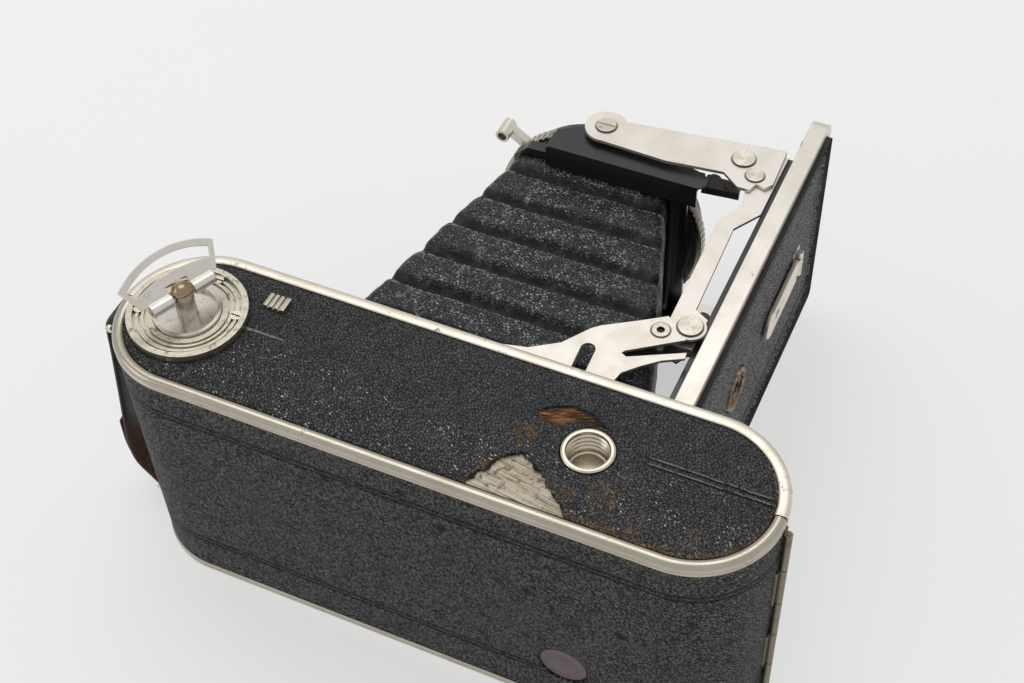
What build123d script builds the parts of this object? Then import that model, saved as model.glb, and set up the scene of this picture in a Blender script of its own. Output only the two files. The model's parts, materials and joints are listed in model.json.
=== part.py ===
"""Self-erecting 6x9 roll-film folding camera, open, resting on its long narrow side.

Frame: millimetres, +Z up, -Y the way the lens looks, +Y the film back, +X the winding-key end.
The origin is the centre of the face that it rests on. The door hangs at the -X end.
"""
from build123d import *
import math
import os

# ---- driving dimensions -------------------------------------------------
LENGTH = 160.0           # over the two rounded ends
DEPTH = 40.8             # front face to back
HEIGHT = 75.3            # resting face to upper face
MID = HEIGHT / 2         # lens axis height; the linkage is mirrored about it
SKIN = 0.8               # leather or trim over the metal shell
WALL = 1.2               # sheet-metal shell
BAND = 2.8               # trim and bead width seen on the upper face
BAND_H = 3.0             # trim and bead height on the sides
SEAM = 0.15              # half gap between front casing and back cover
SPOOL_X = 62.8           # spool and winding-key axes, each end
GATE_Y = 8.5             # front of the film gate
APERTURE = (84.0, 57.0)  # picture opening

HINGE = (-49.0, -18.4)   # door hinge axis
DOOR_OUT = -51.0         # outer face of the opened door
DOOR_IN = -46.5          # inner edge of its rim
DOOR_Z = (5.0, 70.3)
DOOR_Y = (-124.5, -21.2)
OPENING_X = (-51.5, 58.5)
OPENING_Z = (3.6, 71.7)

SCREW_AT = (1.4, -101.1)     # arm to lens standard pivot
RIVET_AT = (-34.9, -102.7)   # arm to door strut pivot
BRACE_AT = (-42.5, -44.3)    # brace to door strut pivot
LENS_X = 2.0                 # lens axis
LEVER_R = 23.9               # release lever's pivot, from the lens axis
LEVER_ANGLE = 128            # and its direction, from +X towards +Z

STRUT_Z = (67.6, 68.4)       # layers of the upper side plates, inside to outside
ARM_Z = (68.5, 69.5)
BRACE_Z = (70.2, 71.0)
EAR_Z = (66.7, 67.3)

BUSH_AT = (-36.0, 0.0)       # tripod bush on the upper face
BUSH_BORE = 4.76             # 3/8 inch thread
DOOR_BUSH_AT = (-57.5, MID)
NUB_AT = (45.3, -10.6)
KEY_TURN = math.radians(65)  # direction of the key's hinge pin, from +X
KEY_TILT = math.radians(42)  # the raised handle, from flat
KEY_PIN_Z = 82.4
RUN = 0.05                   # running clearance on a radius

parts = {}


# ---- small helpers ------------------------------------------------------
def block(x, y, z):
    """A box from three (low, high) pairs."""
    size = [high - low for low, high in (x, y, z)]
    centre = [(high + low) / 2 for low, high in (x, y, z)]
    return Pos(*centre) * Box(*size)


def post(x, y, r, z):
    """An upright cylinder between two heights."""
    return Pos(x, y, (z[0] + z[1]) / 2) * Cylinder(r, z[1] - z[0])


def rod_y(x, z, r, y):
    """A cylinder along Y."""
    return Pos(x, (y[0] + y[1]) / 2, z) * Rot(90, 0, 0) * Cylinder(r, y[1] - y[0])


def rod_x(y, z, r, x):
    """A cylinder along X."""
    return Pos((x[0] + x[1]) / 2, y, z) * Rot(0, 90, 0) * Cylinder(r, x[1] - x[0])


def sheet(outline, z):
    """A flat plate of an outline sketch between two heights."""
    return Pos(0, 0, z[0]) * extrude(outline, amount=z[1] - z[0])


def outline(*points):
    return make_face(Polyline(*points, close=True))


def disc(at, r):
    return Pos(at[0], at[1]) * Circle(r)


def oval(inset, z):
    """The body's rounded outline, inset all round, between two heights."""
    return sheet(SlotOverall(LENGTH - 2 * inset, DEPTH - 2 * inset), z)


def ring(outer, inner, z):
    return oval(outer, z) - oval(inner, z)


def half(solid, side):
    """The part of a solid in front of (-1) or behind (+1) the seam."""
    big = 2 * LENGTH
    y = (SEAM, big) if side > 0 else (-big, -SEAM)
    return solid & block((-big, big), y, (-big, big))


def mirrored(solid):
    """The same piece at the lower side."""
    return mirror(solid, Plane((0, 0, MID), x_dir=(1, 0, 0), z_dir=(0, 0, 1)))


def pair(solid):
    return [solid, mirrored(solid)]


def add(name, *solids):
    flat = []
    for item in solids:
        flat += item if isinstance(item, list) else [item]
    loose = []
    for item in flat:
        loose += item.solids()
    parts[name] = loose


def lens_disc(r, y):
    return rod_y(LENS_X, MID, r, y)


def lens_ring(r, bore, y):
    return lens_disc(r, y) - lens_disc(bore, (y[0] - 1, y[1] + 1))


# ---- casing -------------------------------------------------------------
def casing():
    shell = half(ring(SKIN, SKIN + WALL, (SKIN, HEIGHT - SKIN)), -1)
    rear_inset = BAND + 0.3
    for z in ((SKIN, SKIN + WALL), (HEIGHT - SKIN - WALL, HEIGHT - SKIN)):
        shell += half(oval(SKIN, z), -1)
        shell += oval(rear_inset, z)
    shell -= block(OPENING_X, (-DEPTH, -DEPTH / 2 + 3.2), OPENING_Z)
    top = (HEIGHT - 4, HEIGHT)
    shell -= post(*BUSH_AT, 7.0, top)
    shell -= post(SPOOL_X, 0, 2.4 + RUN, (HEIGHT - 4, HEIGHT))
    shell -= block((NUB_AT[0] - 3.4, NUB_AT[0] + 1.4), (NUB_AT[1] - 1.0, NUB_AT[1] + 1.0), top)
    for x, y in screw_places():
        shell -= post(x, y, 0.7, top)
    add("body_casing", shell)


def screw_places():
    """The winding plate's screws, by angle round the key axis."""
    return [(SPOOL_X + 11.4 * math.cos(math.radians(a)), 11.4 * math.sin(math.radians(a)))
            for a in (17, 197, 263)]


def casing_trim():
    metal = oval(SKIN, (SKIN, HEIGHT - SKIN))
    bands = []
    for z in ((0, BAND_H), (HEIGHT - BAND_H, HEIGHT)):
        bands.append(half(ring(0, BAND, z) - metal, -1))
    add("front_trim", bands)

    leather = oval(BAND + 0.1, (HEIGHT - SKIN, HEIGHT - 0.2))
    leather -= post(*BUSH_AT, 6.3, (0, HEIGHT))
    leather -= post(SPOOL_X, 0, 14.1, (0, HEIGHT))
    leather -= block((NUB_AT[0] - 3.4, NUB_AT[0] + 1.4), (NUB_AT[1] - 1.0, NUB_AT[1] + 1.0), (0, HEIGHT))
    add("top_leather", leather)
    sole = oval(BAND + 0.1, (0, SKIN))

    ends = half(ring(0.3, SKIN, (BAND_H + 0.1, HEIGHT - BAND_H - 0.1)), -1)
    ends -= block((OPENING_X[0] - 1, OPENING_X[1] + 1), (-DEPTH, -DEPTH / 2 + 3), (0, HEIGHT))
    add("casing_leather", sole, ends)


def film_gate():
    z = (SKIN + WALL + 0.05, HEIGHT - SKIN - WALL - 0.05)
    gate = block((-49.8, 49.8), (GATE_Y, GATE_Y + 1.2), z)
    gate -= block((-APERTURE[0] / 2, APERTURE[0] / 2), (0, 20),
                  (MID - APERTURE[1] / 2, MID + APERTURE[1] / 2))
    for x in ((-49.8, -48.8), (48.8, 49.8)):
        gate += block(x, (-13.5, GATE_Y), z)
    gate -= block((48.0, 51.0), (-14.0, -7.0), (HEIGHT - 3.8, HEIGHT))
    add("film_gate", gate)
    for name, side in (("key_end_roller", 1), ("hinge_end_roller", -1)):
        x = side * 51.7
        roller = post(x, 10.2, 1.6, (6.0, HEIGHT - 6.0)) - post(x, 10.2, 0.8 + RUN, (0, HEIGHT))
        add(name, roller)


def spool(name, x):
    """A film spool: core and two flanges."""
    core = post(x, 0, 4.6, (6.0, HEIGHT - 6.0))
    for z in ((5.4, 6.4), (HEIGHT - 6.4, HEIGHT - 5.4)):
        core += post(x, 0, 12.4, z)
    core -= post(x, 0, 2.4 + RUN, (0, HEIGHT))
    add(name, core)


def spool_pins():
    low = (SKIN + WALL, 10.0)
    high = (HEIGHT - 10.0, HEIGHT - SKIN - WALL)
    pins = [post(-SPOOL_X, 0, 2.4, low), post(-SPOOL_X, 0, 2.4, high), post(SPOOL_X, 0, 2.4, low)]
    z = (SKIN + WALL + 0.05, HEIGHT - SKIN - WALL - 0.05)
    pins += [post(side * 51.7, 10.2, 0.8, z) for side in (-1, 1)]
    add("spool_and_roller_pins", pins)


def tripod_bush():
    body = post(*BUSH_AT, 5.95, (HEIGHT - 7.4, HEIGHT + 0.25))
    body += post(*BUSH_AT, 6.9, (HEIGHT - SKIN - WALL - 0.9, HEIGHT - SKIN - WALL))
    body -= post(*BUSH_AT, BUSH_BORE, (HEIGHT - 6.8, HEIGHT + 1))
    add("tripod_bush", body)


# ---- winding ------------------------------------------------------------
def winding_plate():
    """Fixed dished plate with concentric ridges round the key."""
    z0 = HEIGHT - SKIN
    plate = post(SPOOL_X, 0, 14.0, (z0, z0 + 1.9))
    for outer, inner in ((12.6, 11.9), (11.2, 10.6), (10.0, 9.4)):
        groove = post(SPOOL_X, 0, outer, (z0 + 1.3, z0 + 3)) - post(SPOOL_X, 0, inner, (z0, z0 + 4))
        plate -= groove
    plate += post(SPOOL_X, 0, 14.0, (z0 + 1.9, z0 + 2.5)) - post(SPOOL_X, 0, 12.6, (z0, z0 + 4))
    plate -= post(SPOOL_X, 0, 8.0, (z0 + 0.5, z0 + 4))
    plate -= post(SPOOL_X, 0, 2.4 + RUN, (z0 - 1, z0 + 4))
    for x, y in screw_places():
        plate -= post(x, y, 1.4, (z0 + 1.0, z0 + 4))
        plate -= post(x, y, 0.7, (z0 - 1, z0 + 4))
    add("winding_plate", plate)
    screws = []
    for x, y in screw_places():
        screw = post(x, y, 1.35, (z0 + 1.0, z0 + 2.0)) + post(x, y, 0.7, (z0 - 1.2, z0 + 1.2))
        screws.append(screw - block((x - 2, x + 2), (y - 0.2, y + 0.2), (z0 + 1.6, z0 + 3)))
    add("winding_plate_screws", screws)


def winding_shaft():
    z0 = HEIGHT - SKIN + 0.6
    shaft = post(SPOOL_X, 0, 2.4, (HEIGHT - 10.0, KEY_PIN_Z + 1.6))
    dish = post(SPOOL_X, 0, 7.9, (z0, z0 + 2.0)) - post(SPOOL_X, 0, 7.1, (z0 + 0.8, z0 + 4))
    shaft += dish
    dome = Pos(SPOOL_X, 0, KEY_PIN_Z + 0.5) * Sphere(2.6)
    shaft += dome & block((0, 99), (-9, 9), (KEY_PIN_Z + 1.2, 99))
    shaft -= key_frame() * rod_y(0, 0, 0.8, (-9, 9))
    add("winding_shaft", shaft)
    add("key_pin", key_frame() * rod_y(0, 0, 0.8, (-8.6, 8.6)))


def key_frame():
    """Local frame at the key's hinge: Y along the pin, X away from the back."""
    return Pos(SPOOL_X, 0, KEY_PIN_Z) * Rot(0, 0, math.degrees(KEY_TURN) - 90)


def key_handle():
    """Folding fan-shaped handle with a curved finger window and a rolled hinge barrel."""
    base, corner, top, half_base, half_top = 1.2, 7.3, 11.2, 9.8, 12.6
    left = Line((base, half_base), (corner, half_top))
    arc = ThreePointArc((corner, half_top), (top, 0), (corner, -half_top))
    right = Line((corner, -half_top), (base, -half_base))
    close = Line((base, -half_base), (base, half_base))
    blank = make_face(Curve() + [left, arc, right, close])
    inner_arc = ThreePointArc((6.4, 10.9), (9.5, 0), (6.4, -10.9))
    sides = [Line((4.0, 9.9), (6.4, 10.9)), Line((6.4, -10.9), (4.0, -9.9))]
    lower_arc = ThreePointArc((4.0, -9.9), (5.7, 0), (4.0, 9.9))
    window = make_face(Curve() + [sides[0], inner_arc, sides[1], lower_arc])
    blank -= window
    plate = Pos(0, 0, -0.5) * extrude(blank, amount=1.0)
    gap = block((-1, 3.2), (-2.75, 2.75), (-3, 3))
    barrel = rod_y(0, 0, 1.6, (-8.3, 8.3))
    whole = plate + barrel
    whole -= gap
    whole -= rod_y(0, 0, 0.8 + RUN, (-9, 9))
    whole -= block((-2, 0.0), (-2.75, 2.75), (-3, 3))
    add("key_handle", key_frame() * Rot(0, -math.degrees(KEY_TILT), 0) * whole)


def release_slide():
    x, y = NUB_AT
    nub = block((x - 2.7, x + 2.7), (y - 2.0, y + 2.0), (HEIGHT, HEIGHT + 1.2))
    for i in range(3):
        cut = x - 1.45 + 1.35 * i
        nub -= block((cut, cut + 0.4), (y - 3, y + 3), (HEIGHT + 0.6, HEIGHT + 2))
    nub += block((x - 1.0, x + 1.0), (y - 0.8, y + 0.8), (HEIGHT - 2.6, HEIGHT + 0.3))
    z = (HEIGHT - 3.2, HEIGHT - 2.3)
    nub += block((x - 3.0, 57.4), (y - 2.4, y + 2.4), z)
    nub += block((56.6, 57.4), (-15.2, -12.4), (65.0, HEIGHT - 2.3))
    add("release_slide", nub)


# ---- carrying strap -----------------------------------------------------
def strap():
    y = (-6.0, 5.0)
    inner = Spline((81.6, 66.0), (84.0, 50.0), (87.0, 32.0), (88.2, 18.0), (84.6, 7.5))
    outer = Spline((87.0, 7.0), (90.4, 18.0), (89.2, 32.0), (86.2, 50.0), (83.8, 66.0))
    ends = [Line((84.6, 7.5), (87.0, 7.0)), Line((83.8, 66.0), (81.6, 66.0))]
    side = make_face(Curve() + [inner, ends[0], outer, ends[1]])
    band = extrude(Plane.XZ * side, amount=y[1] - y[0])
    band = Pos(0, y[1], 0) * band
    add("strap", band)

    lugs = []
    for z, tail in (((60.0, 67.0), 70.2), ((5.2, 8.4), 3.4)):
        low, high = min(z[0], tail), max(z[1], tail)
        foot = block((79.9, 80.7), (-7.0, -0.4), (low, high))
        foot += block((79.0, 80.7), (-7.0, -3.5), (low, high))
        foot -= oval(0.29, (0, HEIGHT))
        lugs.append(foot)
    loops = []
    for z in (67.6, 5.0):
        loop = Pos(82.6, -0.5, z) * Rot(90, 0, 0) * Cylinder(0.9, 13.0)
        arm = block((80.75, 83.2), (-7.0, -5.8), (z - 0.9, z + 0.9))
        loops.append(loop + arm)
    add("strap_lugs", lugs, loops)
    stud = rod_x(-0.5, 22.0, 2.2, (90.6, 91.4)) + rod_x(-0.5, 22.0, 0.9, (90.0, 91.0))
    add("strap_stud", stud - band)


# ---- back cover ---------------------------------------------------------
def back_cover():
    shell = half(ring(SKIN, SKIN + WALL, (SKIN, HEIGHT - SKIN)), 1)
    shell -= rod_y(-38.2, 19.3, 6.0, (10, 30))
    add("back_cover", shell)
    metal = oval(SKIN, (SKIN, HEIGHT - SKIN))
    beads = [half(ring(0, BAND, z) - metal, 1) for z in ((0, BAND_H), (HEIGHT - BAND_H, HEIGHT))]
    add("back_bead", beads)
    skin = half(ring(0.3, SKIN, (BAND_H + 0.1, HEIGHT - BAND_H - 0.1)), 1)
    skin -= rod_y(-38.2, 19.3, 6.4, (10, 30))
    add("back_leather", skin)
    add("red_window", rod_y(-38.2, 19.3, 5.95, (18.6, 19.9)))
    plate = block((-43, 43), (11.4, 12.4), (7.0, HEIGHT - 7.0))
    add("pressure_plate", plate)
    leaf = ThreePointArc((-26, 12.45), (0, 17.7), (26, 12.45))
    back = ThreePointArc((26, 12.95), (0, 18.2), (-26, 12.95))
    strip = make_face(Curve() + [leaf, Line((26, 12.45), (26, 12.95)), back, Line((-26, 12.95), (-26, 12.45))])
    add("pressure_spring", sheet(strip, (MID - 9, MID + 9)))


BACK_HINGE = (-80.7, 0.0)
KNUCKLE_R = 0.9
HINGE_PIN_R = 0.4


def back_hinge():
    """Piano hinge down the -X end: knuckles take turns on casing and back."""
    z = (6.0, HEIGHT - 5.2)
    count = 5
    step = (z[1] - z[0]) / count
    sides = {-1: [], 1: []}
    bore = post(*BACK_HINGE, HINGE_PIN_R + RUN, z)
    for i in range(count):
        side = -1 if i % 2 == 0 else 1
        span = (z[0] + i * step + 0.15, z[0] + (i + 1) * step - 0.15)
        y = (-1.9, 0.0) if side < 0 else (0.0, 1.9)
        knuckle = post(*BACK_HINGE, KNUCKLE_R, span)
        leaf = block((-82.2, -78.6), y, span) - oval(0.29, (0, HEIGHT))
        leaf &= oval(-0.1, (0, HEIGHT)) + post(*BACK_HINGE, KNUCKLE_R + 0.01, span)
        leaf = (leaf + knuckle) - bore - oval(0.29, (0, HEIGHT))
        leaf -= post(*BACK_HINGE, KNUCKLE_R + 0.15, (span[0] - 2 * step, span[0] - 0.15))
        sides[side].append(leaf)
    add("back_hinge_casing_leaf", sides[-1], post(*BACK_HINGE, HINGE_PIN_R, z))
    add("back_hinge_cover_leaf", sides[1])


# ---- door ---------------------------------------------------------------
def rounded_door(x, grow=0.0):
    """The door's outline with rounded far corners, between two X planes."""
    length = DOOR_Y[1] - DOOR_Y[0] + 2 * grow
    height = DOOR_Z[1] - DOOR_Z[0] + 2 * grow
    centre_y = (DOOR_Y[0] + DOOR_Y[1]) / 2
    solid = Pos((x[0] + x[1]) / 2, centre_y, MID) * Box(x[1] - x[0], length, height)
    far = solid.edges().filter_by(Axis.X).sort_by(Axis.Y)[0:2]
    return fillet(far, 4.0 + grow)


def door():
    panel = rounded_door((DOOR_OUT, DOOR_IN)) - rounded_door((DOOR_OUT + 1.6, DOOR_IN + 1), -1.2)
    panel -= rounded_door((DOOR_OUT - 1, DOOR_OUT + 0.7), -2.6)
    panel -= rod_x(DOOR_BUSH_AT[0], MID, 5.95, (DOOR_OUT - 1, DOOR_IN))
    panel -= post(*HINGE, 2.9, (0, HEIGHT))
    add("door_panel", panel)
    leather = rounded_door((DOOR_OUT + 0.1, DOOR_OUT + 0.7), -2.7)
    leather -= rod_x(DOOR_BUSH_AT[0], MID, 6.3, (DOOR_OUT - 1, DOOR_IN))
    leather -= block((DOOR_OUT - 0.4, DOOR_OUT + 1), (-106.5, -101.5), (MID - 4.5, MID + 4.5))
    leather -= post(*HINGE, 2.9, (0, HEIGHT))
    add("door_leather", leather)

    y = (-109.0, -24.0)
    base = block((DOOR_OUT + 1.65, DOOR_OUT + 2.25), (-121.0, -24.0), (6.6, HEIGHT - 6.6))
    base -= rod_x(DOOR_BUSH_AT[0], MID, 5.95, (DOOR_OUT - 1, DOOR_IN))
    flange = block((DOOR_OUT + 2.25, -44.6), y, (66.8, 67.55))
    tab = sheet(outline((-45.0, -50.0), (-41.0, -50.0), (-38.2, -47.0), (-36.4, -42.6), (-30.4, -37.6),
                        (-28.8, -34.0), (-30.0, -33.2), (-37.0, -35.8), (-39.9, -36.8), (-42.4, -36.0),
                        (-44.0, -39.0), (-45.0, -39.4)), (66.8, 67.55))
    seat = sheet(outline((-45.0, -108.0), (-41.5, -108.0), (-41.5, -94.0), (-45.0, -94.0)), (66.8, 67.55))
    side = flange + tab + seat
    catch = block((DOOR_OUT + 2.25, -44.8), (-121.0, -118.5), (58.0, 64.0))
    add("door_tray", base + side + mirrored(side) + catch)

    knuckles = []
    for span in ((8.0, 26.0), (HEIGHT - 26.0, HEIGHT - 8.0)):
        body = post(*HINGE, 1.3, span) + block((HINGE[0] - 0.5, HINGE[0] + 0.5), (HINGE[1] - 2.85, HINGE[1]), span)
        knuckles.append(body - post(*HINGE, 0.6 + RUN, span))
    middle = post(*HINGE, 1.3, (26.3, HEIGHT - 26.3))
    middle += block((-49.5, -48.5), (HINGE[1], -13.6), (26.3, HEIGHT - 26.3))
    add("body_hinge_knuckle", middle - post(*HINGE, 0.6 + RUN, (0, HEIGHT)))
    add("door_hinge_knuckles", knuckles, post(*HINGE, 0.6, (8.0, HEIGHT - 8.0)))

    bush = rod_x(DOOR_BUSH_AT[0], MID, 5.9, (DOOR_OUT - 0.5, DOOR_OUT + 3.3))
    add("door_bush", bush - rod_x(DOOR_BUSH_AT[0], MID, BUSH_BORE, (DOOR_OUT - 1, DOOR_IN)))


def stand_foot():
    """Short bar that swings out from the door to stand the camera up."""
    x = (DOOR_OUT - 1.5, DOOR_OUT - 0.4)
    bar = block(x, (-101.0, -81.0), (MID - 4, MID + 4))
    bar += Pos((x[0] + x[1]) / 2, -81.0, MID) * Rot(0, 90, 0) * Cylinder(4.0, x[1] - x[0])
    bar += block(x, (-104.0, -101.0), (MID - 2.0, MID + 2.0))
    barrel = post(DOOR_OUT - 0.95, -104.0, 0.9, (MID - 2.0, MID + 2.0))
    bar = bar + barrel - post(DOOR_OUT - 0.95, -104.0, 0.4 + RUN, (0, HEIGHT))
    bar -= rod_x(-85.0, MID, 1.5, (DOOR_OUT - 3, DOOR_OUT))
    add("stand_foot", bar)
    ears = []
    for z in ((MID - 4.2, MID - 2.2), (MID + 2.2, MID + 4.2)):
        ear = post(DOOR_OUT - 0.95, -104.0, 0.9, z) - post(DOOR_OUT - 0.95, -104.0, 0.4, z)
        ears.append(ear)
    base = block((DOOR_OUT - 0.02, DOOR_OUT + 0.7), (-106.4, -101.6), (MID - 4.2, MID + 4.2))
    pin = post(DOOR_OUT - 0.95, -104.0, 0.4, (MID - 4.2, MID + 4.2))
    add("foot_bracket", base, ears, pin)


def struts():
    """Dog-leg struts that stand on the door's flanges and carry the arm pivots."""
    shape = outline((-44.8, -108.4), (-41.0, -109.0), (-33.0, -107.6), (-30.4, -104.0), (-31.0, -100.0),
                    (-38.4, -94.0), (-39.6, -88.6), (-36.0, -81.0), (-36.6, -46.0), (-38.6, -40.2),
                    (-44.6, -40.2), (-44.8, -50.0), (-41.2, -52.0), (-40.4, -80.0), (-44.8, -87.0))
    strut = sheet(shape - disc(RIVET_AT, 1.5) - disc(BRACE_AT, 1.5), STRUT_Z)
    add("door_struts", pair(strut))

    pivots = []
    arm_rivet = post(*RIVET_AT, 1.5, (STRUT_Z[0], ARM_Z[1])) + post(*RIVET_AT, 2.9, (ARM_Z[1], ARM_Z[1] + 0.5))
    brace_rivet = post(*BRACE_AT, 1.5, (STRUT_Z[0], BRACE_Z[1]))
    brace_rivet += post(*BRACE_AT, 2.6, (STRUT_Z[1], BRACE_Z[0]))
    brace_rivet += post(*BRACE_AT, 2.9, (BRACE_Z[1], BRACE_Z[1] + 0.5))
    for rivet in (arm_rivet, brace_rivet):
        pivots += pair(rivet)
    add("strut_rivets", pivots)


def arms():
    """Swinging arms that carry the lens standard."""
    lobe = disc(SCREW_AT, 5.5)
    beam = outline((1.6, -95.7), (-17.0, -94.9), (-31.8, -96.6), (-36.6, -92.9), (-39.8, -93.0),
                   (-40.6, -95.6), (-44.6, -94.4), (-44.0, -109.6), (-2.9, -104.5), (0.0, -106.4))
    blank = lobe + (beam & (disc(RIVET_AT, 11.2) + outline((5, -90), (-34.9, -90), (-34.9, -114), (5, -114))))
    blank -= disc(RIVET_AT, 1.5 + RUN) + disc(SCREW_AT, 1.6 + RUN)
    stop = (-39.4, -98.1)
    blank -= disc(stop, 1.0)
    add("lens_arms", pair(sheet(blank, ARM_Z)))
    pin = post(*stop, 1.0, ARM_Z) + post(*stop, 2.3, (ARM_Z[1], ARM_Z[1] + 0.4))
    add("arm_stop_rivets", pair(pin))


def braces():
    """Side braces from the door into the body, with a sprung finger that catches the door tab."""
    shape = outline((-36.8, -45.6), (-31.5, -42.0), (-26.6, -38.9), (-23.6, -37.0), (-21.8, -35.3),
                    (-19.5, -32.0), (-17.2, -28.7), (-11.0, -24.6), (-3.8, -22.9), (-3.0, -18.2),
                    (-27.0, -14.9), (-31.4, -19.0), (-32.5, -23.3), (-33.1, -25.8), (-36.5, -29.4),
                    (-40.1, -32.5), (-44.7, -35.1), (-44.5, -36.9), (-32.4, -30.6), (-31.0, -31.2),
                    (-31.5, -32.1), (-43.0, -40.3))
    eyelet_at = (-36.7, -40.8)
    blank = shape + disc(BRACE_AT, 3.8)
    blank -= disc(BRACE_AT, 1.5 + RUN) + disc(eyelet_at, 1.2)
    slot = disc((-23.6, -29.4), 1.7) + outline((-25.3, -29.4), (-21.9, -29.4), (-22.4, -18.6), (-25.8, -18.6))
    slot += disc((-24.1, -18.6), 1.7)
    blank -= slot
    add("braces", pair(sheet(blank, BRACE_Z)))
    eyelet = post(*eyelet_at, 1.2, BRACE_Z) + post(*eyelet_at, 2.1, (BRACE_Z[1], BRACE_Z[1] + 0.3))
    eyelet -= post(*eyelet_at, 0.9, (60, 80))
    add("brace_eyelets", pair(eyelet))
    stud = post(-24.1, -16.5, 1.3, (BRACE_Z[1] + 0.9, HEIGHT - SKIN - WALL))
    add("brace_guide_studs", pair(stud))


# ---- lens standard ------------------------------------------------------
def standard():
    x = (-27.0, 14.0)
    top = block(x, (-97.2, -90.7), (65.4, EAR_Z[1] - 0.6)) + block(x, (-91.5, -90.7), (60.4, 66.7))
    ear = disc(SCREW_AT, 5.2) + outline((-9, -90.7), (-27, -90.7), (-28.8, -92.0), (-28.8, -94.6), (-27, -96.2),
                                       (-18.0, -98.6), (-3.6, -102.0), (6.4, -102.0), (13.5, -97.6), (13.5, -90.7))
    top += sheet(ear - disc(SCREW_AT, 1.2), EAR_Z)
    frame_plate = lens_disc(26.0, (-97.2, -96.0)) + block((-23.0, 14.0), (-97.2, -96.0), (13.0, HEIGHT - 13.0))
    frame_plate += block(x, (-97.2, -96.0), (HEIGHT - 13.0, 65.6)) + block(x, (-97.2, -96.0), (HEIGHT - 65.6, 13.0))
    frame_plate -= lens_disc(16.0, (-99, -90))
    add("standard_frame", frame_plate + top + mirrored(top))

    board = Pos(LENS_X, -94.4, MID) * Box(44.0, 3.0, 50.0)
    board = chamfer(board.edges().filter_by(Axis.Y), 4.0)
    board -= block((LENS_X - 17, LENS_X + 17), (-95, -92), (MID - 19, MID + 19))
    board -= lens_disc(15.0, (-97, -90))
    add("lens_board", board)

    screws = post(*SCREW_AT, 1.2, (EAR_Z[0], EAR_Z[1] + 0.2)) + post(*SCREW_AT, 2.2, (EAR_Z[1], ARM_Z[0]))
    screws += post(*SCREW_AT, 1.6, (ARM_Z[0], ARM_Z[1]))
    screws += post(*SCREW_AT, 2.6, (ARM_Z[1], ARM_Z[1] + 0.5))
    slot = block((SCREW_AT[0] - 3, SCREW_AT[0] + 3), (SCREW_AT[1] - 0.3, SCREW_AT[1] + 0.3), (ARM_Z[1] + 0.2, 80))
    add("arm_pivot_screws", pair(screws - slot))

    link = sheet(disc((-24.5, -96.2), 2.4) + disc((-29.0, -97.4), 2.2)
                 + outline((-24.5, -98.6), (-36.0, -98.8), (-36.6, -95.2), (-24.5, -93.9)), (62.6, 65.0))
    link -= block((-28.0, -20), (-101, -90), (60, 70)) - block((-28.0, -27.05), (-99, -92), (62, 65.2))
    add("steady_links", pair(link))


def shutter():
    case = lens_disc(28.0, (-98.4, -97.25)) + lens_disc(26.0, (-107.0, -98.4)) - lens_disc(12.2, (-120, -90))
    case -= lens_ring(24.6, 14.6, (-105.6, -98.6))
    teeth = 90
    rim = lens_ring(28.9, 26.0 + RUN, (-101.6, -98.5))
    for i in range(teeth):
        a = 360 / teeth * i
        rim -= Pos(LENS_X, 0, MID) * Rot(0, a, 0) * block((28.55, 29.5), (-102, -98), (-0.35, 0.35))
    add("shutter_ring", rim)
    dial = lens_ring(22.0, 17.0 + RUN, (-108.4, -107.1))
    dial += Pos(LENS_X, 0, MID) * Rot(0, -60, 0) * block((21.0, 24.4), (-108.4, -107.1), (-1.4, 1.4))
    add("speed_dial", dial)
    mount = lens_ring(17.0, 12.2, (-110.4, -107.05))
    add("lens_mount", mount)
    cell = lens_ring(15.4, 10.4, (-114.6, -110.5))
    for i in range(48):
        cell -= Pos(LENS_X, 0, MID) * Rot(0, 7.5 * i, 0) * block((15.0, 16.0), (-113.6, -110), (-0.4, 0.4))
    cell += lens_ring(12.2 - RUN, 10.4, (-110.6, -104.8))
    add("front_cell", cell)
    glass = lens_disc(10.35, (-113.0, -110.2)) & (Pos(LENS_X, -88.0, MID) * Sphere(25.6))
    add("front_lens", glass)
    rear = lens_ring(12.15, 8.6, (-103.6, -93.4)) + lens_ring(13.6, 8.6, (-95.0, -93.4))
    add("rear_cell", rear)
    back_glass = lens_disc(8.55, (-96.4, -94.2)) & (Pos(LENS_X, -112.0, MID) * Sphere(18.4))
    add("rear_lens", back_glass)
    leaves = []
    for i in range(5):
        leaf = block((3.4, 11.4), (-104.6 + 0.18 * i, -104.5 + 0.18 * i), (-3.0, 3.0))
        leaves.append(Pos(LENS_X, 0, MID) * Rot(0, 72 * i, 0) * leaf)
    add("shutter_leaves", leaves)

    turned = Pos(LENS_X, 0, MID) * Rot(0, -LEVER_ANGLE, 0)
    lever = block((LEVER_R, 31.2), (-110.2, -109.2), (-1.1, 1.1)) + rod_y(31.2, 0, 1.7, (-110.8, -108.8))
    lever += rod_y(LEVER_R, 0, 2.2, (-110.2, -109.2))
    add("release_lever", turned * (lever - rod_y(LEVER_R, 0, 1.0 + RUN, (-112, -108))))
    add("shutter_case", case + turned * rod_y(LEVER_R, 0, 1.0, (-110.6, -106.9)))

    pointer = block((28.05, 30.3), (-98.3, -97.35), (-1.8, 1.8))
    add("aperture_pointer", Pos(LENS_X, 0, MID) * Rot(0, -68, 0) * pointer)

    socket = rod_y(30.3, 57.6, 1.9, (-104.6, -99.0))
    stem = Pos(LENS_X, 0, MID) * Rot(0, -35.0, 0) * block((25.8, 33.4), (-104.2, -101.9), (-1.3, 1.3))
    socket = stem + socket - rod_y(30.3, 57.6, 1.2, (-102.5, -98.0))
    add("cable_socket", socket - lens_disc(26.0, (-110, -90)))


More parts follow.
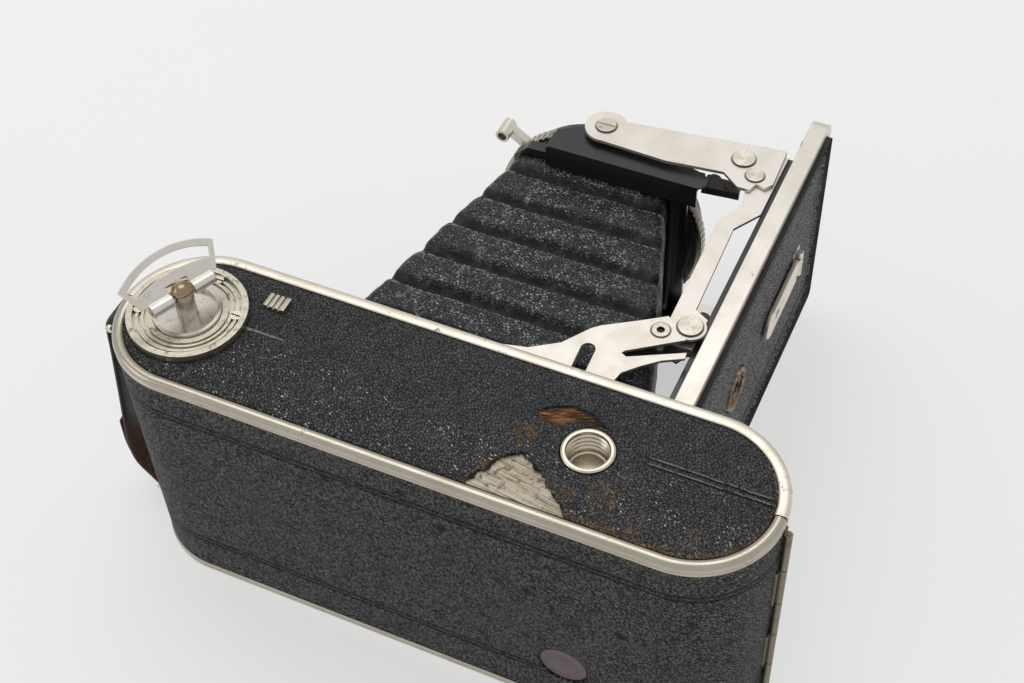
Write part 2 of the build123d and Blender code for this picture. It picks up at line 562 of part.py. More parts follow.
# ---- bellows ------------------------------------------------------------
def bellows():
    """Tapered pleated bellows, as a plain hollow frustum between gate and lens board."""
    def section(y, w, h, cx):
        return Plane((cx, y, MID), x_dir=(1, 0, 0), z_dir=(0, -1, 0)) * RectangleRounded(2 * w, 2 * h, 3)
    rear, front = (GATE_Y - 0.3, 42.0, 29.2, -0.5), (-92.8, 20.6, 22.0, LENS_X)
    middle = (-20.0, 39.15, 27.2, -2.85)
    skin = 1.2

    def frustum(a, b, inset, past):
        near, far = ((y, w - inset, h - inset, cx) for y, w, h, cx in (a, b))
        return loft([section(near[0] + past, *near[1:]), section(far[0] - past, *far[1:])])

    solid = frustum(rear, middle, 0, 0) + frustum(middle, front, 0, 0)
    solid -= frustum(rear, middle, skin, 0.01)
    add("bellows", solid - frustum(middle, front, skin, 0.01))


for build in (casing, casing_trim, film_gate, spool_pins, tripod_bush, winding_plate, winding_shaft,
              key_handle, release_slide, strap, back_cover, back_hinge, door, stand_foot, struts, arms,
              braces, standard, shutter, bellows):
    build()
spool("takeup_spool", SPOOL_X)
spool("supply_spool", -SPOOL_X)

os.makedirs("parts", exist_ok=True)
for name, solids in parts.items():
    shape = solids[0] if len(solids) == 1 else Compound(children=solids)
    shape.label = name
    export_step(shape, f"parts/{name}.step")
print(len(parts), "nodes")
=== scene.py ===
"""Looks for the open folding camera. Metres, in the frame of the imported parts."""
import json
import math

import bpy
import bmesh
from mathutils import Matrix, Vector, noise


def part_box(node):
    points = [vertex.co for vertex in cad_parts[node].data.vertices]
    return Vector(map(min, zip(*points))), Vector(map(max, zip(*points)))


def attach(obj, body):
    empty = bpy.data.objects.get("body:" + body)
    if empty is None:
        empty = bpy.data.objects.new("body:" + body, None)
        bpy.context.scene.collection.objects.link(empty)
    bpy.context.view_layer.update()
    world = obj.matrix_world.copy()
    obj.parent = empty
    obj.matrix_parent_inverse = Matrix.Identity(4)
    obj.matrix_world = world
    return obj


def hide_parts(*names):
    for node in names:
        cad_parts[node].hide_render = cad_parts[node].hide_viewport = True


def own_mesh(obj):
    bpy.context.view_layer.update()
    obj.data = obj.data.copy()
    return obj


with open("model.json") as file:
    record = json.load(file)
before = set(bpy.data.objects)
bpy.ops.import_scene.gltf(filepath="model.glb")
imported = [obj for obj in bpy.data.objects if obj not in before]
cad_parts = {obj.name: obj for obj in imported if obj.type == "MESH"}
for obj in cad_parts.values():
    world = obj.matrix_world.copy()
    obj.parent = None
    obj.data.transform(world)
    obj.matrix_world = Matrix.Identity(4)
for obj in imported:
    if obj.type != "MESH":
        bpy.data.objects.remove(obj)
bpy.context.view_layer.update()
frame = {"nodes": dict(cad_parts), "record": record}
MM = 0.001

trim_low, trim_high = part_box("front_trim")
END_R = -trim_low.y                     # radius of the rounded ends
END_X = trim_high.x - END_R             # their axes, each side of the middle
TOP = trim_high.z
SEAM = 0.15 * MM                        # half the gap between the front half and the back
WELL_ENDS = (END_X - 0.1 * MM, -52.5 * MM)  # where the end covering stops at the door's opening
PLATE_HOLE, BUSH_HOLE = 14.1 * MM, 6.15 * MM
SEAM_LINES = (-1.6, -3.1)               # pressed double line on the top leather, Y in millimetres
STRAP_Y = -0.5 * MM
KEY_X = sum(corner.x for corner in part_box("winding_plate")) / 2
BUSH_X = sum(corner.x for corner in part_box("tripod_bush")) / 2
WINDOW = sum(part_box("red_window"), Vector()) / 2
DOOR_LOW, DOOR_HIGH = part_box("door_panel")
LENS = sum(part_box("shutter_ring"), Vector()) / 2


# ---- shader maths ---------------------------------------------------------
class Signal:
    """A value or colour on its way through a finish."""

    def __init__(self, finish, socket):
        self.finish, self.socket = finish, socket

    def math(self, operation, other=None, swap=False):
        pair = [self] if other is None else ([other, self] if swap else [self, other])
        return self.finish.node("Math", {"operation": operation}, dict(enumerate(pair)))

    def __add__(self, other):
        return self.math("ADD", other)

    def __radd__(self, other):
        return self.math("ADD", other)

    def __sub__(self, other):
        return self.math("SUBTRACT", other)

    def __rsub__(self, other):
        return self.math("SUBTRACT", other, swap=True)

    def __mul__(self, other):
        return self.math("MULTIPLY", other)

    def __rmul__(self, other):
        return self.math("MULTIPLY", other)

    def above(self, low, high):
        """0 below low, 1 above high, smooth between."""
        return self.finish.node("MapRange", {"interpolation_type": "SMOOTHSTEP"},
                                {"Value": self, "From Min": low, "From Max": high})

    def below(self, low, high):
        return 1.0 - self.above(low, high)

    def clear(self):
        return self.finish.node("Clamp", {}, {"Value": self})

    def least(self, other):
        return self.math("MINIMUM", other)

    def most(self, other):
        return self.math("MAXIMUM", other)


class Finish:
    """One material, built node by node."""

    def __init__(self, name):
        self.material = bpy.data.materials.new(name)
        self.material.use_nodes = True
        self.tree = self.material.node_tree
        self.tree.nodes.clear()
        self.place = self.node("TexCoord", {}, {}, "Object")

    def node(self, kind, settings, inputs, output=0):
        made = self.tree.nodes.new("ShaderNode" + kind)
        stops = settings.pop("stops", None)
        for name, value in settings.items():
            setattr(made, name, value)
        if stops:
            ramp = made.color_ramp
            while len(ramp.elements) < len(stops):
                ramp.elements.new(0.5)
            for element, (position, colour) in zip(ramp.elements, stops):
                element.position = position
                element.color = (*colour, 1.0)
        for name, value in inputs.items():
            socket = made.inputs[name]
            if isinstance(value, Signal):
                self.tree.links.new(value.socket, socket)
            elif hasattr(value, "__len__") and socket.type == "RGBA":
                socket.default_value = (*value[:3], 1.0)
            else:
                socket.default_value = value
        return Signal(self, made.outputs[output])

    def axis(self, letter, source=None):
        return self.node("SeparateXYZ", {}, {"Vector": source or self.place}, letter)

    def laid(self, size, turn=(0, 0, 0), source=None):
        """Coordinates in units of a feature size in millimetres, one number or three, turned in degrees."""
        size = size if hasattr(size, "__len__") else (size,) * 3
        turned = self.node("Mapping", {"vector_type": "POINT"},
                           {"Vector": source or self.place, "Rotation": [math.radians(a) for a in turn]})
        return self.vector("MULTIPLY", turned, [1 / (s * MM) for s in size])

    def vector(self, operation, one, other=None, output=0):
        inputs = {0: one} if other is None else {0: one, 1: other}
        return self.node("VectorMath", {"operation": operation}, inputs, output)

    def from_axis(self, centre, axis):
        """Distance from a line through a point, along X, Y or Z as axis is 0, 1 or 2."""
        off = self.vector("SUBTRACT", self.place, list(centre))
        off = self.vector("MULTIPLY", off, [0.0 if i == axis else 1.0 for i in range(3)])
        return self.vector("LENGTH", off, output="Value")

    def cloud(self, size, detail=3.0, rough=0.55, turn=(0, 0, 0), source=None):
        return self.node("TexNoise", {}, {"Vector": self.laid(size, turn, source), "Scale": 1.0,
                                          "Detail": detail, "Roughness": rough})

    def cells(self, size, feature="DISTANCE_TO_EDGE", turn=(0, 0, 0), source=None, loose=1.0):
        return self.node("TexVoronoi", {"feature": feature},
                         {"Vector": self.laid(size, turn, source), "Scale": 1.0, "Randomness": loose})

    def mix(self, share, one, other):
        return self.node("Mix", {"data_type": "RGBA"}, {0: share, 6: one, 7: other}, 2)

    def over(self, base, *coats):
        """A base with coats of (share, colour) laid on it in turn."""
        for share, colour in coats:
            base = self.mix(share, base, colour)
        return base

    def colours(self, share, *stops):
        return self.node("ValToRGB", {"stops": list(stops)}, {"Fac": share}, "Color")

    def bump(self, height, depth):
        """Depth in millimetres."""
        return self.node("Bump", {}, {"Height": height, "Distance": depth * MM, "Strength": 1.0})

    def mark(self, name):
        """A painted-in value of the piece itself."""
        return self.node("Attribute", {"attribute_name": name}, {}, "Fac")

    def done(self, **inputs):
        named = {key.replace("_", " "): value for key, value in inputs.items()}
        shader = self.node("BsdfPrincipled", {}, named)
        end = self.tree.nodes.new("ShaderNodeOutputMaterial")
        self.tree.links.new(shader.socket, end.inputs["Surface"])
        return self.material


# ---- finishes -------------------------------------------------------------
def nickel(name, tone=(0.83, 0.78, 0.70), rough=0.32, wear=0.5, dirt=(0.16, 0.13, 0.09), heads=()):
    """Old nickel plate: warm, softly brushed, with dull spots and hairline scratches.
    heads: (x, y, radius) of upright rivets and screws, in millimetres, ringed by grime and painted contact shade."""
    f = Finish(name)
    smudge = f.cloud(9.0, 4.0)
    fine = f.cloud(0.8, 3.0)
    spots = f.cloud(2.1, 5.0, 0.7).above(0.59, 0.66) * f.cloud(13.0, 2.0).above(0.47, 0.58) * wear
    brushed = f.cloud((0.25, 6.0, 6.0), 2.0, 0.5, (0, 0, 27))
    scratch = f.cloud((0.12, 9.0, 9.0), 2.0, 0.4, (10, 20, 58)).above(0.66, 0.70) * 0.5
    dull = (spots + scratch * wear).clear()
    warm = f.mix(smudge.above(0.35, 0.7), tone, [c * k for c, k in zip(tone, (0.90, 0.88, 0.84))])
    height = brushed * 0.35 + fine * 0.3 - dull * 0.6
    # a darker ring round each head: grime, and painted contact shade where the head meets the plate
    for x, y, radius in heads:
        off = f.from_axis((x * MM, y * MM, 0), 2)
        dull = dull.most(off.below((radius + 0.08) * MM, (radius + 0.55) * MM))
    return f.done(Base_Color=f.mix(dull * 0.75, warm, dirt), Metallic=1.0 - spots * 0.6,
                  Roughness=(rough - 0.06) + smudge * 0.14 + dull * 0.3 + fine * 0.05,
                  Normal=f.bump(height, 0.012))


def ridged_nickel(name, centres, axis, pitch, depth=0.02, tone=(0.80, 0.75, 0.67), rough=0.3, rust=0.0,
                  rubbed=None):
    """Nickel with turning marks round given axes; the nearest axis counts. Rubbed to brass above a height. Darkened
    where the edge mark is set: grime and painted shade on upright side walls.
    """
    f = Finish(name)
    reach = None
    for centre in centres:
        away = f.from_axis(centre, axis)
        reach = away if reach is None else reach.least(away)
    rings = (reach * (math.tau / (pitch * MM))).math("SINE") * 0.5 + 0.5
    grime = f.cloud(1.6, 5.0, 0.65)
    smudge = f.cloud(6.0, 3.0)
    stain = grime.above(0.50, 0.72)
    green = f.cloud(5.0, 3.0).above(0.54, 0.66) * grime.above(0.48, 0.64) * rust
    base = f.over(tone, (smudge.above(0.35, 0.7) * 0.5, [c * 0.74 for c in tone]),
                  (stain * 0.55, (0.26, 0.21, 0.14)), (green * 0.55, (0.12, 0.17, 0.11)))
    if rubbed:
        base = f.mix(f.axis("Z").above(rubbed, rubbed + 0.9 * MM) * 0.85, base, (0.27, 0.175, 0.075))
    # edge mark: grime and painted shade on the side walls of the heads
    base = f.mix(f.mark("edge") * 0.85, base, (0.045, 0.032, 0.020))
    return f.done(Base_Color=base, Metallic=1.0 - green * 0.5, Roughness=rough + grime * 0.12 + green * 0.3,
                  Normal=f.bump(rings + grime * 0.4, depth))


def enamel(name, rough=0.22):
    """Black stoving enamel, dusty, rubbed down to grey at a few places."""
    f = Finish(name)
    dust = f.cloud(0.5, 3.0).above(0.66, 0.74) * 0.35
    smear = f.cloud((3.0, 14.0, 6.0), 4.0)
    chip = f.cloud(2.6, 6.0, 0.75).above(0.69, 0.72) * 0.6
    base = f.over((0.012, 0.012, 0.013), (dust * smear.above(0.4, 0.7), (0.16, 0.16, 0.17)),
                  (chip, (0.45, 0.43, 0.40)))
    peel = f.cloud(0.9, 2.0)
    return f.done(Base_Color=base, Roughness=rough + smear * 0.18 + dust * 0.4, Metallic=chip * 0.8,
                  Coat_Weight=0.5 - smear * 0.3, Coat_Roughness=0.12,
                  Normal=f.bump(peel * 0.5 - chip, 0.02))


def steel():
    """Plain drawn steel with a few rust spots."""
    f = Finish("plain steel")
    drawn = f.cloud((8.0, 8.0, 0.3), 3.0)
    spot = f.cloud(1.3, 5.0, 0.7).above(0.63, 0.7)
    return f.done(Base_Color=f.mix(spot * 0.6, (0.42, 0.41, 0.39), (0.14, 0.09, 0.05)), Metallic=1.0 - spot * 0.5,
                  Roughness=0.38 + drawn * 0.15 + spot * 0.2, Normal=f.bump(drawn, 0.01))


def top_leather():
    """Fine pebbled black leather, dusty, with painted glints and sparkle, rubbed brown and ochre at its edges;
    painted shade along torn edges and pressed lines, painted highlights along the crease and seam lines.
    """
    f = Finish("pebbled black leather")
    slant = (0, 0, 35)
    pebble = f.cells((1.0, 0.60, 0.9), turn=slant).above(0.03, 0.27)
    fine = f.cells((0.62, 0.42, 0.6), turn=(0, 0, 62)).above(0.02, 0.30)
    broad = f.cloud(6.0, 3.0)
    worn, torn, lip, painted_line_highlight = f.mark("worn"), f.mark("torn"), f.mark("lip"), f.mark("painted_line_highlight")
    crack = f.cloud(0.9, 6.0, 0.7)
    crumb = f.cells(0.7).above(0.03, 0.22)
    brown = (worn + crack * 0.9 - 0.45).above(0.48, 0.66) * (crumb * 0.75 + 0.25)
    brown = brown * (f.cloud(0.7, 4.0, 0.7).above(0.44, 0.54) * 0.8 + worn.above(0.7, 0.9) * 0.2)
    fibre = f.cloud((3.2, 0.22, 1.0), 4.0, 0.6, (0, 0, -18))
    # painted glints and sparkle, denser towards the back edge and kept off the painted line highlights
    near_back = f.axis("Y").above(-3.0 * MM, 6.0 * MM)
    painted_glint_zone = (near_back * 0.7 + 0.3) * (1.0 - painted_line_highlight)
    glint = f.cells((0.75, 0.38, 0.6), "F1", turn=slant).below(0.12, 0.42)
    glint = glint * f.cloud(1.3, 3.0, 0.65).above(0.50, 0.58)
    # white specks: dust, and painted sparkle
    speck = f.cells((1.4, 0.7, 1.2), "F1", turn=slant).below(0.12, 0.26) * f.cloud(3.2, 3.0).above(0.53, 0.58)
    rubs = (f.cloud(4.0, 2.0, turn=(30, 10, 50)) + worn * 0.22).above(0.56, 0.64)
    ochre = f.cells(1.2, "F1").below(0.08, 0.22) * rubs
    tan = f.colours(crack, (0.34, (0.035, 0.016, 0.008)), (0.48, (0.19, 0.10, 0.040)),
                    (0.62, (0.42, 0.27, 0.12)))
    shreds = f.colours(fibre, (0.36, (0.012, 0.008, 0.006)), (0.50, (0.15, 0.062, 0.026)),
                       (0.62, (0.42, 0.21, 0.09)))
    shreds = f.over(shreds, (f.axis("X").below(-33.0 * MM, -28.0 * MM) * 0.7, (0.020, 0.011, 0.007)),
                    (fibre.above(0.58, 0.66) * crack.above(0.50, 0.56), (0.55, 0.52, 0.46)))
    base = f.mix(pebble * 0.8 + fine * 0.5, (0.003, 0.003, 0.004), (0.105, 0.105, 0.109))
    base = f.over(base, (broad.above(0.3, 0.75) * 0.3, (0.022, 0.022, 0.024)),
                  (glint * painted_glint_zone, (0.30, 0.30, 0.31)), (ochre * 0.75, (0.25, 0.18, 0.08)),
                  (speck * painted_glint_zone, (0.75, 0.75, 0.74)),
                  # painted highlight along the crease and beside the pressed seam lines
                  (painted_line_highlight.above(0.45, 0.8) * crack.above(0.38, 0.50), (0.30, 0.29, 0.27)),
                  # lip mark: painted shade along the torn edges and in the pressed lines
                  (brown, tan), (torn, shreds), (lip, (0.004, 0.003, 0.003)))
    height = pebble * 0.8 + fine * 0.4 + broad * 0.4 + speck * 0.8 - brown * 0.7 + glint * 0.3
    height = height * (1.0 - torn) + torn * fibre * 3.0
    return f.done(Base_Color=base, Roughness=0.36 + broad * 0.16 + brown * 0.3 + torn * 0.3 - pebble * 0.06,
                  Specular_IOR_Level=0.12, Normal=f.bump(height, 0.24))


def woven_leather(name, lines, light=1.0, pits=()):
    """Grained covering with rows of small slanted bumps and pressed double lines at given heights, painted shade in
    the lines. light scales the tones: above 1 it paints the covering lighter, as light falling on it.
    """
    f = Finish(name)
    flat = f.node("UVMap", {"uv_map": "wrap"}, {}, "UV")
    along, up = f.axis("X", flat), f.axis("Y", flat)
    wander = f.cloud(5.0, 2.0, source=flat)
    one = f.cells((1.35, 0.66, 1.0), turn=(0, 0, -50), source=flat, loose=0.85).above(0.03, 0.28)
    two = f.cells((0.95, 0.56, 1.0), turn=(0, 0, -22), source=flat, loose=0.9).above(0.02, 0.26)
    grain = one * 0.62 + two * 0.38
    groove = None
    for line in lines:
        near = (up - line).math("ABSOLUTE").below(0.2 * MM, 0.7 * MM)
        groove = near if groove is None else groove.most(near)
    soil = f.cloud(11.0, 4.0)
    pit = f.cloud(2.2, 5.0, 0.7, source=flat).above(0.69, 0.73)
    ragged = f.cloud(1.1, 4.0, 0.7, source=flat) * 1.5 * MM
    for x, z in pits:
        off = ((along - x * MM).math("POWER", 2.0) + (up - z * MM).math("POWER", 2.0)).math("SQRT") + ragged
        pit = pit.most(off.below(1.5 * MM, 2.6 * MM))
    rust = pit * f.cloud(8.0, 2.0).above(0.50, 0.58)
    edge = up.above(70.6 * MM, 72.2 * MM) * f.cloud(1.3, 5.0, 0.7, source=flat).above(0.50, 0.60)
    speck = f.cells(3.4, "F1").below(0.03, 0.07) * f.cloud(9.0, 2.0).above(0.53, 0.60)
    # light scales the tones: a value above 1 paints the covering lighter, standing in for the light it catches
    dark, pale = ([c * light for c in tone] for tone in ((0.003, 0.003, 0.003), (0.135, 0.135, 0.137)))
    base = f.mix((grain + wander * 0.3 - 0.15).above(0.02, 0.80), dark, pale)
    base = f.over(base, (soil.above(0.45, 0.75) * 0.25, [c * light for c in (0.075, 0.072, 0.068)]),
                  # painted shade in the pressed lines
                  (groove * 0.75, (0.006, 0.006, 0.006)), (pit * 0.85, (0.004, 0.004, 0.003)),
                  (rust * 0.7, (0.075, 0.045, 0.018)), (edge * 0.8, (0.19, 0.11, 0.045)),
                  (speck, (0.55, 0.53, 0.50)))
    relief = grain - groove * 1.5 - pit * 1.1 + soil * 0.4
    return f.done(Base_Color=base, Roughness=0.44 + soil * 0.16 - grain * 0.05, Specular_IOR_Level=0.10,
                  Normal=f.bump(relief, 0.42))


def bellows_leather():
    """Soft black leather on card stiffeners: grained on the panels, smooth in the folds. Painted shade and sheen in
    the folds, painted glints and pale wrinkle crests on the panels, painted shade and highlight dashes along the
    creases.
    """
    f = Finish("bellows leather")
    groove, crease, end = f.mark("groove"), f.mark("crease"), f.mark("gusset")
    grain = f.cells((1.0, 0.62, 0.8), turn=(0, 0, 12)).above(0.02, 0.26)
    wrinkle = f.cloud((1.0, 0.55, 0.8), 4.0, 0.65, (0, 0, 24))
    broad = f.cloud(7.0, 3.0)
    sheen = f.cloud(2.4, 4.0, 0.65)
    highlight_dash = f.cloud((0.8, 0.6, 0.6), 3.0).above(0.47, 0.56)
    panel = (1.0 - groove).clear()
    smooth = (1.0 - end * 0.6) * panel
    glint = wrinkle.above(0.46, 0.60) * grain * smooth
    base = f.mix(grain * smooth, (0.002, 0.002, 0.003), (0.060, 0.061, 0.066))
    # painted shade in the folds, with patches of painted sheen
    fold = f.mix(sheen.above(0.45, 0.7), (0.006, 0.006, 0.007), (0.030, 0.031, 0.033))
    # painted highlights on the panels: pale wrinkle crests, glints and patches of sheen
    base = f.over(base, (wrinkle.above(0.42, 0.60) * panel * grain * 0.8, (0.080, 0.082, 0.088)),
                  (glint * sheen.above(0.42, 0.56), (0.42, 0.43, 0.46)),
                  (sheen.above(0.55, 0.75) * panel * 0.4, (0.050, 0.051, 0.055)),
                  # along the creases: painted highlight dashes, painted shade between them
                  (crease * highlight_dash * 0.9, (0.40, 0.39, 0.36)),
                  (crease * (1.0 - highlight_dash) * 0.9, (0.002, 0.002, 0.002)), (groove * 0.9, fold))
    relief = grain * smooth * 0.9 + wrinkle * panel * 0.6 + broad * 0.4 - crease * 0.8 + groove * sheen * 0.4
    return f.done(Base_Color=base, Roughness=0.34 + groove * 0.16 + broad * 0.12 - grain * 0.04,
                  Specular_IOR_Level=0.20, Coat_Weight=panel * 0.16, Coat_Roughness=0.22,
                  Normal=f.bump(relief, 0.26))


def strap_leather():
    f = Finish("strap leather")
    worn = f.mark("worn")
    grain = f.cells(0.7).above(0.0, 0.25)
    crack = f.cloud((3.0, 0.8, 0.5), 5.0, 0.65)
    brown = (worn + crack * 0.6 - 0.3).above(0.35, 0.65)
    base = f.mix(grain, (0.008, 0.008, 0.008), (0.022, 0.021, 0.021))
    base = f.mix(brown, base, f.colours(crack, (0.3, (0.02, 0.010, 0.006)), (0.7, (0.13, 0.060, 0.030))))
    return f.done(Base_Color=base, Roughness=0.40 + brown * 0.25 + crack * 0.1,
                  Normal=f.bump(grain * 0.5 + crack * 0.8, 0.10))


def casing_paint():
    """Black lacquered shell; its upper face is bare tinned sheet where the covering has torn away."""
    f = Finish("casing sheet")
    bare = f.axis("Z").above(TOP - 0.95 * MM, TOP - 0.85 * MM)
    sand = f.cloud((6.0, 0.35, 1.0), 4.0, 0.6, (0, 0, 8))
    patch = f.cloud(2.4, 5.0, 0.7)
    tin = f.colours(sand + patch * 0.25, (0.42, (0.075, 0.050, 0.028)), (0.56, (0.33, 0.28, 0.20)),
                    (0.76, (0.52, 0.48, 0.39)))
    tin = f.over(tin, (patch.above(0.53, 0.62) * 0.85, (0.14, 0.075, 0.035)),
                 (f.cloud(1.5, 4.0, turn=(0, 0, 40)).above(0.64, 0.70) * 0.8, (0.06, 0.10, 0.06)))
    black = f.mix(f.cloud(3.0, 3.0).above(0.4, 0.8), (0.010, 0.010, 0.010), (0.028, 0.028, 0.028))
    return f.done(Base_Color=f.mix(bare, black, tin), Metallic=bare * 0.45,
                  Roughness=0.42 + patch * 0.2, Normal=f.bump(sand + patch, 0.03))


def window_finish():
    f = Finish("dark red celluloid")
    haze = f.cloud(2.0, 4.0)
    return f.done(Base_Color=f.mix(haze, (0.030, 0.010, 0.013), (0.060, 0.022, 0.028)), Coat_Weight=0.4 * haze,
                  Roughness=0.30 + haze * 0.2, Specular_IOR_Level=0.6, Normal=f.bump(haze, 0.02))


def glass_finish():
    f = Finish("ground glass lens")
    dust = f.cloud(0.5, 3.0).above(0.62, 0.70)
    return f.done(Base_Color=f.mix(dust * 0.3, (0.80, 0.82, 0.88), (0.6, 0.6, 0.6)), Transmission_Weight=0.92,
                  IOR=1.52, Roughness=0.02 + dust * 0.15, Coat_Weight=0.3)


def worn_brass():
    f = Finish("worn bush metal")
    tarnish = f.cloud(1.6, 5.0, 0.65)
    turned = f.cloud((3.0, 0.3, 0.3), 2.0)
    base = f.colours(tarnish, (0.3, (0.05, 0.028, 0.018)), (0.5, (0.26, 0.17, 0.11)),
                     (0.68, (0.55, 0.44, 0.34)))
    return f.done(Base_Color=base, Metallic=0.9 - tarnish * 0.2, Roughness=0.30 + tarnish * 0.3,
                  Normal=f.bump(tarnish + turned * 0.5, 0.03))


def door_metal():
    """Nickelled rim with a black lacquered inside."""
    f = Finish("door rim and inside")
    smudge, brushed = f.cloud(8.0, 4.0), f.cloud((6.0, 6.0, 0.3), 2.0)
    spots = f.cloud(1.9, 5.0, 0.7).above(0.64, 0.70)
    rim, fade = 1.1 * MM, 0.1 * MM
    within = f.axis("Y").above(DOOR_LOW.y + rim - fade, DOOR_LOW.y + rim)
    within = within * f.axis("Z").above(DOOR_LOW.z + rim - fade, DOOR_LOW.z + rim)
    within = within * f.axis("Z").below(DOOR_HIGH.z - rim, DOOR_HIGH.z - rim + fade)
    within = within * f.axis("X").above(DOOR_LOW.x + 1.4 * MM, DOOR_LOW.x + 1.5 * MM)
    nickel_tone = f.mix(smudge.above(0.35, 0.7), (0.80, 0.75, 0.68), (0.70, 0.65, 0.57))
    nickel_tone = f.mix(spots * 0.7, nickel_tone, (0.20, 0.17, 0.13))
    return f.done(Base_Color=f.mix(within, nickel_tone, (0.010, 0.010, 0.010)), Metallic=1.0 - within,
                  Roughness=0.32 + smudge * 0.14, Normal=f.bump(brushed * 0.4 - spots * 0.5, 0.012))


def floor_finish():
    f = Finish("pale table")
    soft = f.cloud(240.0, 3.0)
    return f.done(Base_Color=f.mix(soft, (0.36, 0.36, 0.36), (0.40, 0.40, 0.40)), Roughness=0.55 + soft * 0.1,
                  Emission_Color=f.mix(soft, (0.99, 0.99, 0.98), (1.0, 1.0, 1.0)), Emission_Strength=0.50,
                  Specular_IOR_Level=0.2, Normal=f.bump(f.cloud(3.0, 2.0), 0.01))


# ---- modelling helpers ----------------------------------------------------
def clear_choice():
    if bpy.context.object and bpy.context.object.mode != "OBJECT":
        bpy.ops.object.mode_set(mode="OBJECT")
    bpy.ops.object.select_all(action="DESELECT")


def choose(obj):
    clear_choice()
    obj.select_set(True)
    bpy.context.view_layer.objects.active = obj


def edit(obj):
    """Into edit mode on a piece, with all of it selected."""
    choose(obj)
    bpy.ops.object.mode_set(mode="EDIT")
    bpy.ops.mesh.select_all(action="SELECT")


def leave():
    bpy.ops.object.mode_set(mode="OBJECT")


def named(name):
    obj = bpy.context.object
    obj.name = obj.data.name = name
    return obj


def linked(name, mesh):
    obj = bpy.data.objects.new(name, mesh)
    bpy.context.scene.collection.objects.link(obj)
    return obj


def settle(obj):
    """Applies place, turn and size, so that the piece's place is in its mesh."""
    choose(obj)
    bpy.ops.object.transform_apply(location=True, rotation=True, scale=True)
    return obj


def tidy_mesh(obj, gap=0.00001, flip=True):
    edit(obj)
    bpy.ops.mesh.remove_doubles(threshold=gap)
    if flip:
        bpy.ops.mesh.normals_make_consistent(inside=False)
    leave()
    return obj


def modify(obj, kind, **settings):
    choose(obj)
    made = obj.modifiers.new(kind.title(), kind)
    for key, value in settings.items():
        setattr(made, key, value)
    bpy.ops.object.modifier_apply(modifier=made.name)
    return obj


def eased_edges(obj, width, angle=50, **more):
    """Rounds a piece's sharp edges by a width in millimetres."""
    return modify(obj, "BEVEL", width=width * MM, segments=2, limit_method="ANGLE",
                  angle_limit=math.radians(angle), **more)


def cut_with(obj, cutter):
    settle(cutter)
    modify(obj, "BOOLEAN", operation="DIFFERENCE", object=cutter)
    bpy.data.objects.remove(cutter)


def joined(obj, other):
    choose(obj)
    other.select_set(True)
    bpy.ops.object.join()
    return obj


def smooth(obj, degrees=35):
    choose(obj)
    bpy.ops.object.shade_smooth_by_angle(angle=math.radians(degrees))
    return obj


def dress(obj, body, material, replaced=(), slot=None):
    obj.data.materials.clear()
    obj.data.materials.append(material)
    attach(obj, body)
    if replaced:
        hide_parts(*replaced)
    return obj


def body_of(node):
    for body, nodes in frame["record"]["behaviour"]["bodies"].items():
        if node in nodes:
            return body


def slot_of(node):
    for entry in frame["record"]["subparts"]:
        if entry["node"] == node:
            return entry["material_slot"]


def softened(node, material, width=0.12, grime_and_shade=False):
    """A copy of a metal node with its sharp edges rounded."""
    copy = linked(node + "_finished", frame["nodes"][node].data.copy())
    edit(tidy_mesh(copy, 0.000002, flip=False))
    bpy.ops.mesh.dissolve_limited(angle_limit=math.radians(0.6))
    leave()
    eased_edges(copy, width, 32, use_clamp_overlap=True, miter_outer="MITER_ARC")
    # marks the upright side walls for darkening: grime and painted shade
    if grime_and_shade:
        paint(copy, "edge", [1 - ease(abs(vertex.normal.z), 0.30, 0.85) for vertex in copy.data.vertices])
    smooth(copy, 40)
    modify(copy, "WEIGHTED_NORMAL", keep_sharp=True, weight=80)
    return dress(copy, body_of(node), material, (node,), slot_of(node))


def swept(name, profile, side, steps=32):
    """A closed profile of (out from the end's axis, height) swept round half of the casing's outline."""
    first = math.asin(SEAM / END_R)
    bpy.ops.mesh.primitive_circle_add(vertices=len(profile), radius=1.0, fill_type="NGON")
    obj = named(name)
    for vertex, (out, height) in zip(obj.data.vertices, profile):
        vertex.co = (END_X + out * math.cos(first), side * out * math.sin(first), height)
    edit(obj)
    turn = side * (math.radians(90) - first)
    bpy.ops.mesh.spin(steps=steps, angle=-turn, center=(END_X, 0, 0), axis=(0, 0, 1))
    bpy.ops.mesh.extrude_region_move(TRANSFORM_OT_translate={"value": (-2 * END_X, 0, 0)})
    bpy.ops.mesh.spin(steps=steps, angle=-turn, center=(-END_X, 0, 0), axis=(0, 0, 1))
    leave()
    return tidy_mesh(obj)


def arc_length(x, y):
    """Distance round the casing's outline from the middle of its front or back."""
    if abs(x) <= END_X:
        return x
    swing = math.atan2(abs(x) - END_X, abs(y))
    return math.copysign(END_X + END_R * swing, x)


def wrap_map(obj, flat=None):
    """Lays a map on a covering: distance round the casing, and height, in metres."""
    layer = obj.data.uv_layers.new(name="wrap")
    for loop in obj.data.loops:
        co = obj.data.vertices[loop.vertex_index].co
        layer.data[loop.index].uv = flat(co) if flat else (arc_length(co.x, co.y), co.z)
    return obj


def edge_distance(x, y):
    """Distance from the axis line of the oval, so that the outline itself is at END_R."""
    return math.hypot(max(abs(x) - END_X, 0.0), y)


def inside(point, corners):
    x, y = point
    odd = False
    for (x1, y1), (x2, y2) in zip(corners, corners[1:] + corners[:1]):
        if (y1 > y) != (y2 > y) and x < (x2 - x1) * (y - y1) / (y2 - y1) + x1:
            odd = not odd
    return odd


